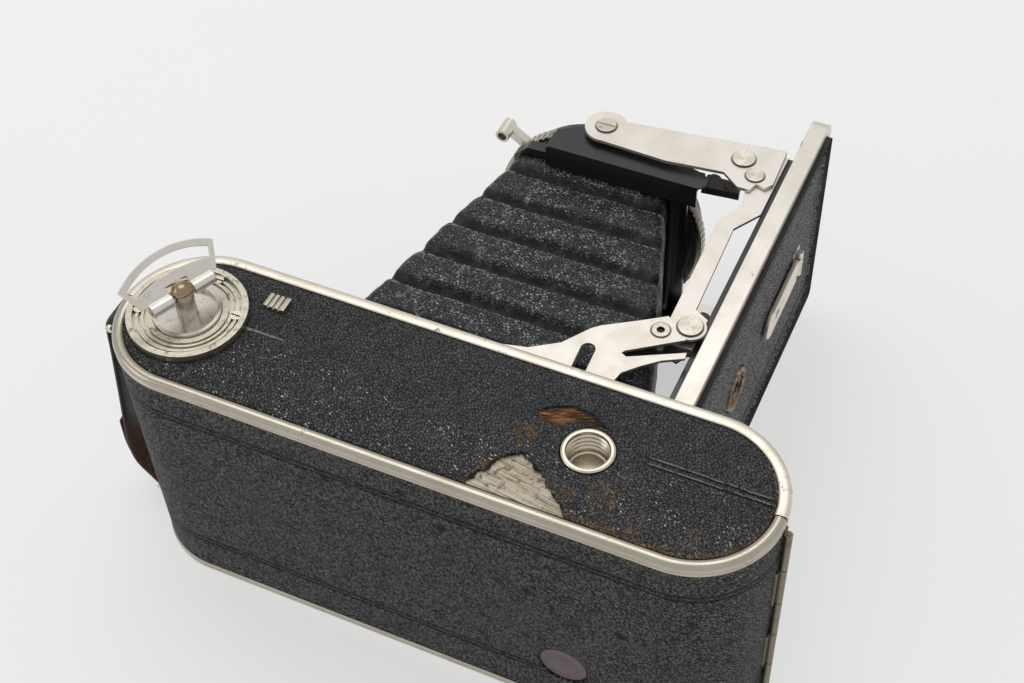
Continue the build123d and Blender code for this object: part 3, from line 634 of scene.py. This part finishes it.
def from_outline(point, corners):
    """Shortest distance to the closed outline."""
    best = 1e9
    p = Vector(point)
    for one, two in zip(corners, corners[1:] + corners[:1]):
        a, b = Vector(one), Vector(two)
        share = max(0.0, min(1.0, (p - a).dot(b - a) / (b - a).length_squared))
        best = min(best, (p - a - share * (b - a)).length)
    return best


def ease(value, low, high):
    share = max(0.0, min(1.0, (value - low) / (high - low)))
    return share * share * (3 - 2 * share)


def rough_at(x, y, z, size):
    return noise.noise(Vector((x, y, z)) / (size * MM))


def paint(obj, name, values):
    layer = obj.data.attributes.get(name) or obj.data.attributes.new(name, "FLOAT", "POINT")
    layer.data.foreach_set("value", values)


# ---- coverings ------------------------------------------------------------
def top_covering():
    """Leather on the upper face, with the hole of the bush, the winding plate and the torn patch."""
    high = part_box("top_leather")[1]
    radius = high.y
    gone = [(-14.6, 18.4), (-16.7, 13.7), (-18.4, 11.6), (-19.4, 8.3), (-21.0, 7.6), (-22.9, 5.9), (-25.6, 6.6),
            (-27.8, 8.9), (-30.2, 9.4), (-32.0, 11.8), (-35.9, 14.7), (-38.4, 18.4)]
    peel = [(-21.6, -5.6), (-24.6, -8.0), (-28.6, -9.8), (-33.4, -9.2), (-37.6, -7.0), (-35.4, -6.0),
            (-31.4, -6.4), (-28.0, -4.6), (-24.6, -3.4)]
    gone, peel = ([(x * MM, y * MM) for x, y in line] for line in (gone, peel))
    bpy.ops.mesh.primitive_grid_add(x_subdivisions=390, y_subdivisions=88, size=2.0)
    obj = named("top_covering")
    reach = END_X + radius - 0.1 * MM
    for vertex in obj.data.vertices:
        x = vertex.co.x * reach
        over = max(abs(x) - END_X, 0.0)
        vertex.co = (x, vertex.co.y * math.sqrt(max(radius ** 2 - over ** 2, 0.0)), high.z)
    holes = [((KEY_X, 0.0), PLATE_HOLE), ((BUSH_X, 0.0), BUSH_HOLE)]
    mesh = bmesh.new()
    mesh.from_mesh(obj.data)
    doomed = []
    for face in mesh.faces:
        middle = face.calc_center_median()
        ragged = Vector((rough_at(middle.x, middle.y, 0.3, 1.6), rough_at(middle.x, middle.y, 7.3, 1.4)))
        ragged *= 0.7 * MM
        away = [(middle.xy - Vector(centre)).length < r for centre, r in holes]
        if any(away) or inside(middle.xy + ragged, gone):
            doomed.append(face)
    bmesh.ops.delete(mesh, geom=doomed, context="FACES")
    for vertex in mesh.verts:
        for centre, r in holes:
            off = vertex.co.xy - Vector(centre)
            if vertex.is_boundary and abs(off.length - r) < 0.6 * MM:
                vertex.co.xy = Vector(centre) + off.normalized() * r
    worn, torn, painted_shade_marks, painted_line_highlights = [], [], [], []
    rub_places = [((-25, 12), 6.0, 0.72), ((-43, 9), 8.0, 0.66), ((-50, 14), 7.0, 0.66), ((-36, 11), 5.0, 0.66),
                  ((-28, -7), 6.0, 0.50), ((-22, 1), 6.0, 0.68), ((-44, -3), 5.0, 0.50), ((8, -14), 9.0, 0.36),
                  ((38, -1.8), 4.0, 0.52), ((-62, 13), 8.0, 0.55), ((-18, 14), 7.0, 0.68),
                  ((-46, 4), 4.0, 0.62)]
    for vertex in mesh.verts:
        x, y = vertex.co.xy
        to_trim = radius - edge_distance(x, y)
        to_gone, to_peel = from_outline((x, y), gone), from_outline((x, y), peel)
        frayed = ease(-x, 30 * MM, 44 * MM) * ease(x, -76 * MM, -66 * MM) * (y > 0)
        near_rim = ease(-to_trim, (-1.3 - 1.3 * frayed) * MM, -0.1 * MM)
        rim = 0.46 if y > 0 else 0.30
        rim += 0.5 * frayed + 0.5 * ease(-x, 66 * MM, 73 * MM)
        value = near_rim * rim + 0.62 * ease(-to_gone, -1.3 * MM, -0.1 * MM)
        for (px, py), spread, strength in rub_places:
            gap = math.hypot(x / MM - px, y / MM - py)
            gap += 3.2 * rough_at(x, y, 0.011, 3.2) + 1.6 * rough_at(x, y, 0.004, 1.1)
            value = max(value, strength * (1 - ease(gap, 0.15 * spread, spread)))
        stripped = 0.0
        if inside((x, y), peel):
            stripped = ease(to_peel, 0.05 * MM, 0.5 * MM)
        bare_front = ease(-y, 5.5 * MM, 7.0 * MM)
        worn.append(value)
        torn.append(stripped)
        # lip mark: painted shade along the peeled patch's front edge, in the pressed lines and round the torn hole;
        # pale: painted highlight just beside the pressed lines
        dark = (1 - ease(to_peel, 0.05 * MM, 0.45 * MM)) * bare_front
        pale = 0.0
        for line in SEAM_LINES:
            off = (y / MM - line) + 0.15 * rough_at(x, 0, line, 5.0)
            drawn = ease(-x, 46 * MM, 50 * MM)
            dark = max(dark, (1 - ease(abs(off), 0.10, 0.34)) * drawn)
            pale = max(pale, (1 - ease(abs(off + 0.42), 0.05, 0.30)) * drawn * 0.9)
        shadow = 0.9 * (1 - ease(abs(to_gone - 0.15 * MM), 0.05 * MM, 0.35 * MM))
        dark = max(dark, shadow * (rough_at(x, y, 5, 2.2) > 0))
        painted_shade_marks.append(dark)
        # painted highlight along the crease line, strong from x 41 to 49 mm and faint towards the bush
        off_line = abs(y + 1.9 * MM - 0.4 * MM * rough_at(x, 0, 0, 9.0))
        short_of_plate = ease(-x, -52 * MM, -49 * MM)
        scratch = (1 - ease(off_line, 0.10 * MM, 0.40 * MM)) * ease(x, 36 * MM, 41 * MM) * short_of_plate
        smear = 0.35 * (1 - ease(off_line, 0.6 * MM, 1.2 * MM)) * ease(x, 2 * MM, 8 * MM) * short_of_plate
        painted_line_highlights.append(max(scratch, pale, smear))
        lift = 0.45 * MM * (1 - ease(to_gone, 0.0, 1.8 * MM)) * (0.4 + rough_at(x, y, 2.0, 3.0))
        lip = 0.0
        if not inside((x, y), peel):
            lip = 0.32 * MM * (1 - ease(to_peel, 0.0, 1.3 * MM)) * ease(-y, 3 * MM, 7 * MM)
        crease = 0.16 * MM * (1 - ease(abs(y + 1.7 * MM - 0.5 * MM * rough_at(x, 0, 0, 9.0)), 0.0, 0.6 * MM))
        crease *= ease(x, 12 * MM, 20 * MM) * ease(-x, -50 * MM, -44 * MM)
        seam = 0.0
        for line in SEAM_LINES:
            seam += 0.14 * MM * (1 - ease(abs(y - line * MM), 0.0, 0.45 * MM)) * ease(-x, 46 * MM, 54 * MM)
        edge = 0.30 * MM * (1 - ease(to_trim, 0.0, 1.2 * MM))
        vertex.co.z += lift + lip - crease - seam - edge - 0.30 * MM * stripped
        vertex.co.z += 0.06 * MM * rough_at(x, y, 0, 2.6)
    mesh.to_mesh(obj.data)
    mesh.free()
    for name, values in (("worn", worn), ("torn", torn), ("lip", painted_shade_marks), ("painted_line_highlight", painted_line_highlights)):
        paint(obj, name, values)
    modify(obj, "SOLIDIFY", thickness=0.5 * MM, offset=-1.0)
    choose(obj)
    bpy.ops.object.shade_smooth()
    return dress(obj, "body", top_leather(), ("top_leather",), "leather")


def wall_profile(out, inner, low, high, round_off):
    """A flat strip's section, its outer corners eased."""
    return [(inner, low), (out - round_off, low), (out, low + round_off), (out, high - round_off),
            (out - round_off, high), (inner, high)]


def bored(obj, place, radius, turn):
    """Cuts a round hole through a covering."""
    bpy.ops.mesh.primitive_cylinder_add(vertices=64, radius=radius, depth=0.02, location=place,
                                        rotation=[math.radians(a) for a in turn])
    cut_with(obj, named("cutter"))


def back_covering(material):
    low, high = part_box("back_leather")
    obj = swept("back_covering", wall_profile(high.y, END_R - 0.8 * MM, low.z, high.z, 0.25 * MM), 1)
    bored(obj, WINDOW, 6.4 * MM, (90, 0, 0))
    wrap_map(obj)
    smooth(obj, 35)
    return dress(obj, "back", material, ("back_leather",), "leather")


def casing_covering(material):
    """Leather round the front half's ends, and the sole that the camera rests on."""
    profile = wall_profile(END_R - 0.3 * MM, END_R - 0.8 * MM, 3.1 * MM, TOP - 3.1 * MM, 0.25 * MM)
    obj = swept("end_covering", profile, -1)
    edit(obj)
    for cut in WELL_ENDS:
        bpy.ops.mesh.select_all(action="SELECT")
        bpy.ops.mesh.bisect(plane_co=(cut, 0, 0), plane_no=(1, 0, 0))
    bpy.ops.mesh.select_all(action="DESELECT")
    leave()
    for face in obj.data.polygons:
        face.select = WELL_ENDS[1] < face.center.x < WELL_ENDS[0]
    bpy.ops.object.mode_set(mode="EDIT")
    bpy.ops.mesh.delete(type="FACE")
    bpy.ops.mesh.select_all(action="SELECT")
    bpy.ops.mesh.fill_holes(sides=12)
    leave()
    bpy.ops.mesh.primitive_circle_add(vertices=96, radius=END_R - 2.9 * MM, fill_type="NGON")
    sole = named("sole")
    for vertex in sole.data.vertices:
        vertex.co.x += math.copysign(END_X, vertex.co.x) if abs(vertex.co.x) > 1e-6 else 0.0
    edit(sole)
    bpy.ops.mesh.extrude_region_move(TRANSFORM_OT_translate={"value": (0, 0, 0.75 * MM)})
    leave()
    eased_edges(tidy_mesh(sole), 0.2)
    tidy_mesh(joined(obj, sole))
    wrap_map(obj, lambda co: (arc_length(co.x, co.y), co.z if co.z > 1 * MM else co.y))
    smooth(obj, 35)
    return dress(obj, "body", material, ("casing_leather",), "leather")


def door_covering(material):
    low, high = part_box("door_leather")
    size, middle = high - low, (high + low) / 2
    bpy.ops.mesh.primitive_cube_add(size=1.0, location=middle, scale=size)
    obj = settle(named("door_covering"))
    for edge in obj.data.edges:
        one, two = (obj.data.vertices[i].co for i in edge.vertices)
        edge.select = abs(one.y - low.y) < 1e-6 and abs(two.y - low.y) < 1e-6 and abs(one.x - two.x) > 1e-6
    choose(obj)
    bpy.ops.object.mode_set(mode="EDIT")
    bpy.ops.mesh.bevel(offset=2.0 * MM, segments=8)
    leave()
    bush_low, bush_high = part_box("door_bush")
    bored(obj, (bush_low + bush_high) / 2, 6.3 * MM, (0, 90, 0))
    pad_low, pad_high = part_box("foot_bracket")
    room = pad_high - pad_low + Vector((0, 0.4, 0.4)) * MM
    bpy.ops.mesh.primitive_cube_add(size=1.0, location=(pad_low + pad_high) / 2, scale=(0.01, room.y, room.z))
    cut_with(obj, named("cutter"))
    eased_edges(obj, 0.15)
    wrap_map(obj, lambda co: (co.y, co.z))
    for face in obj.data.polygons:
        if abs(face.normal.x) < 0.6:
            for loop in face.loop_indices:
                obj.data.uv_layers["wrap"].data[loop].uv = (0.2 * MM, 0.2 * MM)
    smooth(obj, 35)
    return dress(obj, "door", material, ("door_leather",), "leather")


# ---- bellows --------------------------------------------------------------
def bellows_cloth():
    """Tapered bellows: grained panels between deep folds, with gussets at the corners."""
    low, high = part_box("bellows")
    rear, front, middle = high.y, low.y, TOP / 2
    pitch, first, waist = 12.1 * MM, -86.9 * MM, -20.0 * MM
    steps = (-6.05, -5.0, -4.3, -3.6, -3.0, -2.4, -1.8, -1.2, -0.6, 0.0, 0.5, 0.9, 1.2, 1.45, 1.75, 2.05, 2.4,
             3.0, 3.8, 4.9)
    depths = [first + k * pitch + step * MM for k in range(-1, 10) for step in steps]
    depths = [front] + [y for y in depths if front + 0.2 * MM < y < rear - 0.2 * MM] + [rear]
    rows, wide, tall, bend = len(depths) - 1, 66, 46, 8
    spans = [wide, bend, tall, bend] * 2
    around = sum(spans)
    bpy.ops.mesh.primitive_grid_add(x_subdivisions=around, y_subdivisions=rows, size=2.0)
    obj = named("bellows_cloth")
    groove, crease, gusset = [], [], []

    def level(values, y):
        """A size in metres at a depth, from its values at the front, the waist and the rear."""
        if y < waist:
            return (values[0] + (values[1] - values[0]) * (y - front) / (waist - front)) * MM
        return (values[1] + (values[2] - values[1]) * (y - waist) / (rear - waist)) * MM

    for vertex in obj.data.vertices:
        column = round((vertex.co.x + 1) / 2 * around) % around
        y = depths[round((vertex.co.y + 1) / 2 * rows)]
        half_w, half_h, centre = (level(values, y) for values in ((20.6, 39.15, 42.0), (22.0, 27.2, 29.2),
                                                                  (2.0, -2.85, -0.5)))
        step = ((y - first) / pitch + 0.5) % 1.0 - 0.5
        d = step * pitch / MM
        wall = ease(d, -3.3, -0.6) if d < 0 else 1 - ease(d, 0.3, 1.75)
        wall *= ease(y, front, front + 2 * MM) * (1 - ease(y, rear - 2 * MM, rear))
        crown = 0.35 * MM * math.cos(max(-1.0, min(1.0, (d - 5.3) / 3.6 if d > 0 else (d + 6.8) / 3.6)) * 1.5)
        side = 0
        while column >= spans[side]:
            column -= spans[side]
            side += 1
        place = column / spans[side]
        across = (half_w, 0, half_h, 0)[side % 4]
        corner = 2.4 * MM
        inset = across * (1 - abs(2 * place - 1)) / MM
        fade = wall * (0.30 + 0.70 * ease(inset, 0.0, 6.5))
        w, h = half_w - 1.2 * MM * fade, half_h - 2.1 * MM * fade
        along = 2 * place - 1
        turn = math.radians(90 * place)
        spot = {0: (along * (w - corner), h), 2: (w, -along * (h - corner)), 4: (-along * (w - corner), -h),
                6: (-w, along * (h - corner)),
                1: (w - corner + corner * math.sin(turn), h - corner + corner * math.cos(turn)),
                3: (w - corner + corner * math.cos(turn), -h + corner - corner * math.sin(turn)),
                5: (-w + corner - corner * math.sin(turn), -h + corner - corner * math.cos(turn)),
                7: (-w + corner - corner * math.cos(turn), h - corner + corner * math.sin(turn))}[side]
        x, z = spot
        normal = Vector({0: (0, 1), 2: (1, 0), 4: (0, -1), 6: (-1, 0)}.get(side, (math.copysign(0.7, x),
                                                                                  math.copysign(0.7, z))))
        end = 0.0
        fold = 0.0
        if across:
            place_of = 8.8 + 1.6 * math.sin(round((y - first) / pitch) * 2.4 + (1.3 if along > 0 else 0))
            lean = 0.28 * abs(d if d > 0 else d + 12.1) * (1 if round((y - first) / pitch) % 2 else -1)
            for line in (place_of + lean, place_of + 1.9 + lean * 0.6):
                fold = max(fold, 1 - ease(abs(inset - line), 0.1, 0.75))
            end = 1 - ease(inset, place_of + lean - 1.0, place_of + lean + 1.0)
        else:
            end = 1.0
        fold *= 1 - wall
        ridge = 1 - ease(abs(d - 1.75), 0.05, 0.42)
        shift = (crown * (1 - wall) - 0.30 * MM * fold) * bool(across) - 0.16 * MM * ridge
        shift += 0.25 * MM * rough_at(x, y, z, 8.0) + 0.12 * MM * rough_at(x, y * 1.5, z, 2.6)
        shift += 0.20 * MM * end * rough_at(x, y, z + 0.05, 3.2)
        x += normal.x * shift
        z += normal.y * shift
        vertex.co = (centre + x, y, middle + z)
        groove.append(wall)
        crease.append(max(ridge, 0.7 * fold))
        gusset.append(end)
    # groove marks the folds and crease the ridges and gusset lines; the finish paints shade, sheen and highlights
    # along them
    paint(obj, "groove", groove)
    paint(obj, "crease", crease)
    paint(obj, "gusset", gusset)
    tidy_mesh(obj, 0.00002)
    modify(obj, "SOLIDIFY", thickness=0.7 * MM, offset=-1.0)
    choose(obj)
    bpy.ops.object.shade_smooth()
    dress(obj, "body", bellows_leather(), ("bellows",), "bellows_leather")
    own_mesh(obj)
    return obj


# ---- strap ----------------------------------------------------------------
def smooth_line(points, count):
    """Evenly stepped points of a smooth line through the given ones."""
    out = []
    padded = [points[0]] + list(points) + [points[-1]]
    for i in range(len(points) - 1):
        a, b, c, d = (Vector(p) for p in padded[i:i + 4])
        for k in range(count):
            t = k / count
            out.append(0.5 * ((2 * b) + (c - a) * t + (2 * a - 5 * b + 4 * c - d) * t * t
                              + (3 * b - a - 3 * c + d) * t ** 3))
    out.append(Vector(points[-1]))
    return out


def band(name, path, width, thick):
    """A flat strap along a line in the X-Z plane, with eased edges."""
    line = smooth_line([(x * MM, z * MM) for x, z in path], 9)
    half = width / 2 * MM
    edge = [(-half, 0.0), (-half + 0.5 * MM, 0.5), (-half * 0.5, 0.575), (0, 0.6), (half * 0.5, 0.575),
            (half - 0.5 * MM, 0.5), (half, 0.0), (half - 0.5 * MM, -0.5), (0, -0.5), (-half + 0.5 * MM, -0.5)]
    verts, faces = [], []
    for i, point in enumerate(line):
        ahead = line[min(i + 1, len(line) - 1)] - line[max(i - 1, 0)]
        side = Vector((ahead.y, -ahead.x)).normalized()
        for across, lift in edge:
            spot = point + side * lift * thick * MM
            verts.append((spot.x, STRAP_Y + across, spot.y))
    n = len(edge)
    for i in range(len(line) - 1):
        for k in range(n):
            faces.append((i * n + k, i * n + (k + 1) % n, (i + 1) * n + (k + 1) % n, (i + 1) * n + k))
    faces.append(tuple(range(n)))
    faces.append(tuple(range((len(line) - 1) * n, len(line) * n))[::-1])
    mesh = bpy.data.meshes.new(name)
    mesh.from_pydata(verts, [], faces)
    return tidy_mesh(linked(name, mesh))


def carrying_strap(material):
    """The bowed band, its turned-back upper end, and the keeper tail at the lower lug."""
    main = band("carrying_strap", [(81.2, 62.0), (81.0, 66.2), (82.6, 69.0), (84.2, 66.6), (85.2, 58.0),
                                   (86.4, 48.0), (87.9, 36.0), (89.2, 26.0), (89.9, 18.0), (89.0, 11.5),
                                   (85.6, 6.9), (82.6, 3.6), (81.0, 5.4), (81.3, 9.0)], 11.0, 1.2)
    tail = band("strap_tail", [(90.9, 27.0), (91.1, 18.0), (90.0, 11.6), (88.6, 9.6)], 9.6, 0.9)
    joined(main, tail)
    worn = []
    for vertex in main.data.vertices:
        low = 1 - ease(vertex.co.z, 16 * MM, 33 * MM)
        side = ease(abs(vertex.co.y - STRAP_Y), 4.0 * MM, 5.5 * MM)
        worn.append(0.75 * low + 0.35 * side)
    paint(main, "worn", worn)
    modify(main, "SUBSURF", levels=2, render_levels=2)
    smooth(main, 50)
    return dress(main, "body", material, ("strap",), "strap_leather")


# ---- turned and swept metal -----------------------------------------------
def turned(name, profile, at, axis):
    """A closed (radius, height) profile in millimetres spun round an axis through a point."""
    turn = Vector((0, 0, 1)).rotation_difference(Vector(axis)).to_matrix()
    mesh = bpy.data.meshes.new(name)
    points = [turn @ Vector((r * MM, 0, h * MM)) + Vector(at) for r, h in profile]
    closed = profile[0][0] > 0 and profile[-1][0] > 0
    lines = [(i, i + 1) for i in range(len(points) - 1)] + ([(len(points) - 1, 0)] if closed else [])
    mesh.from_pydata(points, lines, [])
    obj = linked(name, mesh)
    edit(obj)
    bpy.ops.mesh.spin(steps=72, angle=math.tau, center=at, axis=axis)
    leave()
    tidy_mesh(obj, 0.000004)
    return smooth(obj, 40)


def both_edges(name, profile, side):
    """A trim band, from (inset, height) in millimetres off the casing's edge, and its copy at the lower edge."""
    top = swept(name, [(END_R - inset * MM, TOP + h * MM) for inset, h in profile], side, steps=36)
    low = swept("low", [(END_R - inset * MM, -h * MM) for inset, h in profile], side, steps=36)
    return smooth(tidy_mesh(joined(top, low)), 30)


def casing_trims(satin, bright):
    flat = [(2.8, -0.8), (2.8, -0.3), (2.55, -0.1), (1.9, -0.02), (1.0, 0.0), (0.5, -0.12), (0.16, -0.42),
            (0.02, -0.95), (0.0, -2.6), (0.15, -2.95), (0.8, -3.0), (0.8, -0.8)]
    front = both_edges("front_trim_bands", flat, -1)
    dress(front, "body", satin, ("front_trim",), "nickel")
    bead = [(2.8, -0.8), (2.8, -0.62), (2.62, -0.34), (2.2, -0.1), (1.6, 0.0), (1.0, -0.1), (0.45, -0.42),
            (0.12, -0.9), (0.02, -1.45), (0.14, -1.85), (0.30, -2.0), (0.12, -2.15), (0.06, -2.7),
            (0.25, -3.0), (0.8, -3.0), (0.8, -0.8)]
    back = both_edges("back_beads", bead, 1)
    dress(back, "back", bright, ("back_bead",), "nickel")


def bush(material):
    """Tripod bush: lip, screw thread, turned floor."""
    under, top = (corner.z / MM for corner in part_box("tripod_bush"))
    floor = under + 0.6
    profile = [(0, under), (5.9, under), (5.9, top - 0.25), (5.7, top - 0.02), (5.3, top + 0.05),
               (4.9, top - 0.03), (4.75, top - 0.3)]
    z = top - 0.9
    while z > floor + 1.2:
        profile += [(4.75, z), (4.40, z - 0.35), (4.40, z - 0.50), (4.75, z - 0.85)]
        z -= 1.3
    profile += [(4.75, floor + 0.5), (4.5, floor + 0.2)]
    for i in range(11):
        profile.append((4.2 - 0.38 * i, floor + (0.0 if i % 2 else 0.13)))
    profile.append((0, floor))
    obj = turned("threaded_bush", profile, (BUSH_X, 0, 0), (0, 0, 1))
    return dress(obj, "body", material, ("tripod_bush",), "nickel")


def door_bush(material):
    low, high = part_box("door_bush")
    depth = (high.x - low.x) / MM
    profile = [(4.75, depth), (5.9, depth), (5.9, 0.45), (5.75, 0.12), (5.4, -0.12), (5.0, -0.05), (4.75, 0.25)]
    z = 0.8
    while z < depth - 0.6:
        profile += [(4.75, z), (4.45, z + 0.3), (4.45, z + 0.45), (4.75, z + 0.7)]
        z += 1.0
    at = (low.x, (low.y + high.y) / 2, (low.z + high.z) / 2)
    obj = turned("door_screw_bush", profile, at, (1, 0, 0))
    return dress(obj, "door", material, ("door_bush",), "brass")


def window(material):
    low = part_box("red_window")[0]
    profile = [(0, 0), (5.9, 0), (5.9, 0.9), (5.75, 1.2), (5.3, 1.28), (4.9, 1.18), (3.0, 1.30), (0, 1.38)]
    obj = turned("window_disc", profile, (WINDOW.x, low.y, WINDOW.z), (0, 1, 0))
    return dress(obj, "back", material, ("red_window",), "red_window")


# ---- scene ----------------------------------------------------------------
def build():
    satin = nickel("satin nickel", (0.76, 0.71, 0.62), 0.34, 0.9)
    # heads on the plates, ringed by grime and painted contact shade
    heads = ((1.4, -101.1, 2.6), (-34.9, -102.7, 2.9), (-39.4, -98.1, 2.3), (-42.5, -44.3, 2.9),
             (-36.7, -40.8, 2.1))
    plate = nickel("plate nickel", (0.77, 0.73, 0.67), 0.42, 0.12, (0.06, 0.045, 0.03), heads)
    bright = nickel("bright nickel", (0.48, 0.445, 0.375), 0.22, 0.7)
    handle = nickel("handle nickel", (0.74, 0.71, 0.65), 0.30, 0.5)
    black = enamel("black enamel")
    plain = steel()
    pits = ((17.6, 62.0), (-1.0, 66.6), (-10.0, 58.5), (-23.0, 46.0), (-30.0, 46.0), (-41.0, 39.7),
            (-52.0, 41.6))
    back_hide = woven_leather("back leather", [z * MM for z in (62.9, 64.4, 13.9, 15.4)], pits=pits)
    # the door's covering is the same leather, painted 1.9 times lighter for the light the door catches
    lit_door_hide = woven_leather("door leather", [z * MM for z in (60.6, 62.2, 13.0, 14.6)], 1.9)

    top_covering()
    back_covering(back_hide)
    casing_covering(back_hide)
    door_covering(lit_door_hide)
    bellows_cloth()
    carrying_strap(strap_leather())
    casing_trims(satin, bright)
    bush(nickel("bush nickel", (0.68, 0.62, 0.52), 0.24, 0.8))
    door_bush(worn_brass())
    window(window_finish())

    key_axis = (KEY_X, 0, 0)
    stop = sum(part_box("arm_stop_rivets"), Vector()) / 2
    rivet_centres = [(-34.9 * MM, -102.7 * MM, 0), (-42.5 * MM, -44.3 * MM, 0), stop]
    turned_head = ridged_nickel("turned rivet heads", rivet_centres, 2, 0.55, 0.03, (0.74, 0.69, 0.59), 0.28)
    disc = ridged_nickel("winding disc nickel", [key_axis], 2, 0.5, 0.008, (0.60, 0.56, 0.46), rust=1.0)
    post_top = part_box("winding_shaft")[1].z - 2.3 * MM
    polished = ridged_nickel("polished dish", [key_axis], 2, 0.3, 0.003, (0.70, 0.66, 0.59), 0.16,
                             rubbed=post_top)
    lens_metal = ridged_nickel("turned lens mount", [LENS], 1, 0.6, 0.01, (0.82, 0.79, 0.73), 0.22)
    hinge_metal = nickel("dull hinge metal", (0.24, 0.215, 0.16), 0.42, 0.9)
    for material, width, nodes in (
            (disc, 0.10, "winding_plate"), (polished, 0.12, "winding_shaft"), (handle, 0.14, "key_handle"),
            (bright, 0.12, "release_slide"), (door_metal(), 0.18, "door_panel"),
            (plate, 0.10, "door_struts lens_arms braces"),
            (turned_head, 0.10, "strut_rivets arm_stop_rivets brace_eyelets arm_pivot_screws winding_plate_screws"),
            (black, 0.15, "standard_frame steady_links door_tray shutter_case lens_board aperture_pointer"),
            (lens_metal, 0.12, "lens_mount front_cell rear_cell speed_dial"),
            (satin, 0.12, "strap_lugs stand_foot foot_bracket cable_socket release_lever"),
            (satin, 0.12, "door_hinge_knuckles body_hinge_knuckle"),
            (hinge_metal, 0.10, "back_hinge_casing_leaf back_hinge_cover_leaf"),
            (bright, 0.06, "shutter_ring"), (plain, 0.15, "strap_stud")):
        for node in nodes.split():
            softened(node, material, width, grime_and_shade=material is turned_head)

    lacquer = enamel("inside lacquer", rough=0.4)
    kept = {"body_casing": casing_paint(), "film_gate": lacquer, "back_cover": lacquer,
            "pressure_plate": lacquer, "front_lens": glass_finish(), "rear_lens": glass_finish()}
    for name, node in frame["nodes"].items():
        if node.hide_render:
            continue
        material = kept.get(name, plain)
        node.data.materials.clear()
        node.data.materials.append(material)


def floor():
    bpy.ops.mesh.primitive_grid_add(x_subdivisions=8, y_subdivisions=8, size=8.0)
    table = named("table_top")
    table.data.materials.append(floor_finish())


def lamp(name, at, aim, size, power, tint=(1, 1, 1)):
    data = bpy.data.lights.new(name, "AREA")
    data.shape, data.size, data.size_y = "RECTANGLE", size[0], size[1]
    data.energy, data.color = power, tint
    obj = bpy.data.objects.new(name, data)
    obj.location = at
    obj.rotation_mode = "QUATERNION"
    obj.rotation_quaternion = (Vector(at) - Vector(aim)).to_track_quat("Z", "Y")
    bpy.context.scene.collection.objects.link(obj)


def light():
    world = bpy.data.worlds.new("soft room")
    world.use_nodes = True
    world.node_tree.nodes["Background"].inputs["Color"].default_value = (0.99, 0.99, 1.0, 1)
    world.node_tree.nodes["Background"].inputs["Strength"].default_value = 0.70
    bpy.context.scene.world = world
    lamp("overhead", (0.25, -0.35, 1.1), (0, -0.03, 0.04), (0.9, 0.7), 3.2, (1.0, 0.985, 0.96))
    lamp("window side", (0.9, 0.55, 0.6), (0, 0, 0.04), (0.6, 0.5), 1.2, (0.96, 0.98, 1.0))


def camera():
    """Looks down on the back corner of the casing."""
    data = bpy.data.cameras.new("view")
    data.sensor_width, data.sensor_fit = 36.0, "HORIZONTAL"
    data.lens = 59.036
    data.clip_start, data.clip_end = 0.01, 20.0
    obj = bpy.data.objects.new("view", data)
    ahead = Vector((0.29351871, -0.58207941, -0.75830754)).normalized()
    level = ahead.cross(Vector((0, 0, 1))).normalized()
    above = level.cross(ahead)
    roll = math.radians(3.0)
    right = level * math.cos(roll) - above * math.sin(roll)
    up = right.cross(ahead)
    obj.matrix_world = Matrix.Translation(Vector((-118.525, 196.581, 359.235)) * MM) @ Matrix(
        (right, up, -ahead)).transposed().to_4x4()
    bpy.context.scene.collection.objects.link(obj)
    bpy.context.scene.camera = obj


build()
floor()
light()
camera()
bpy.context.scene.view_settings.view_transform = "Standard"
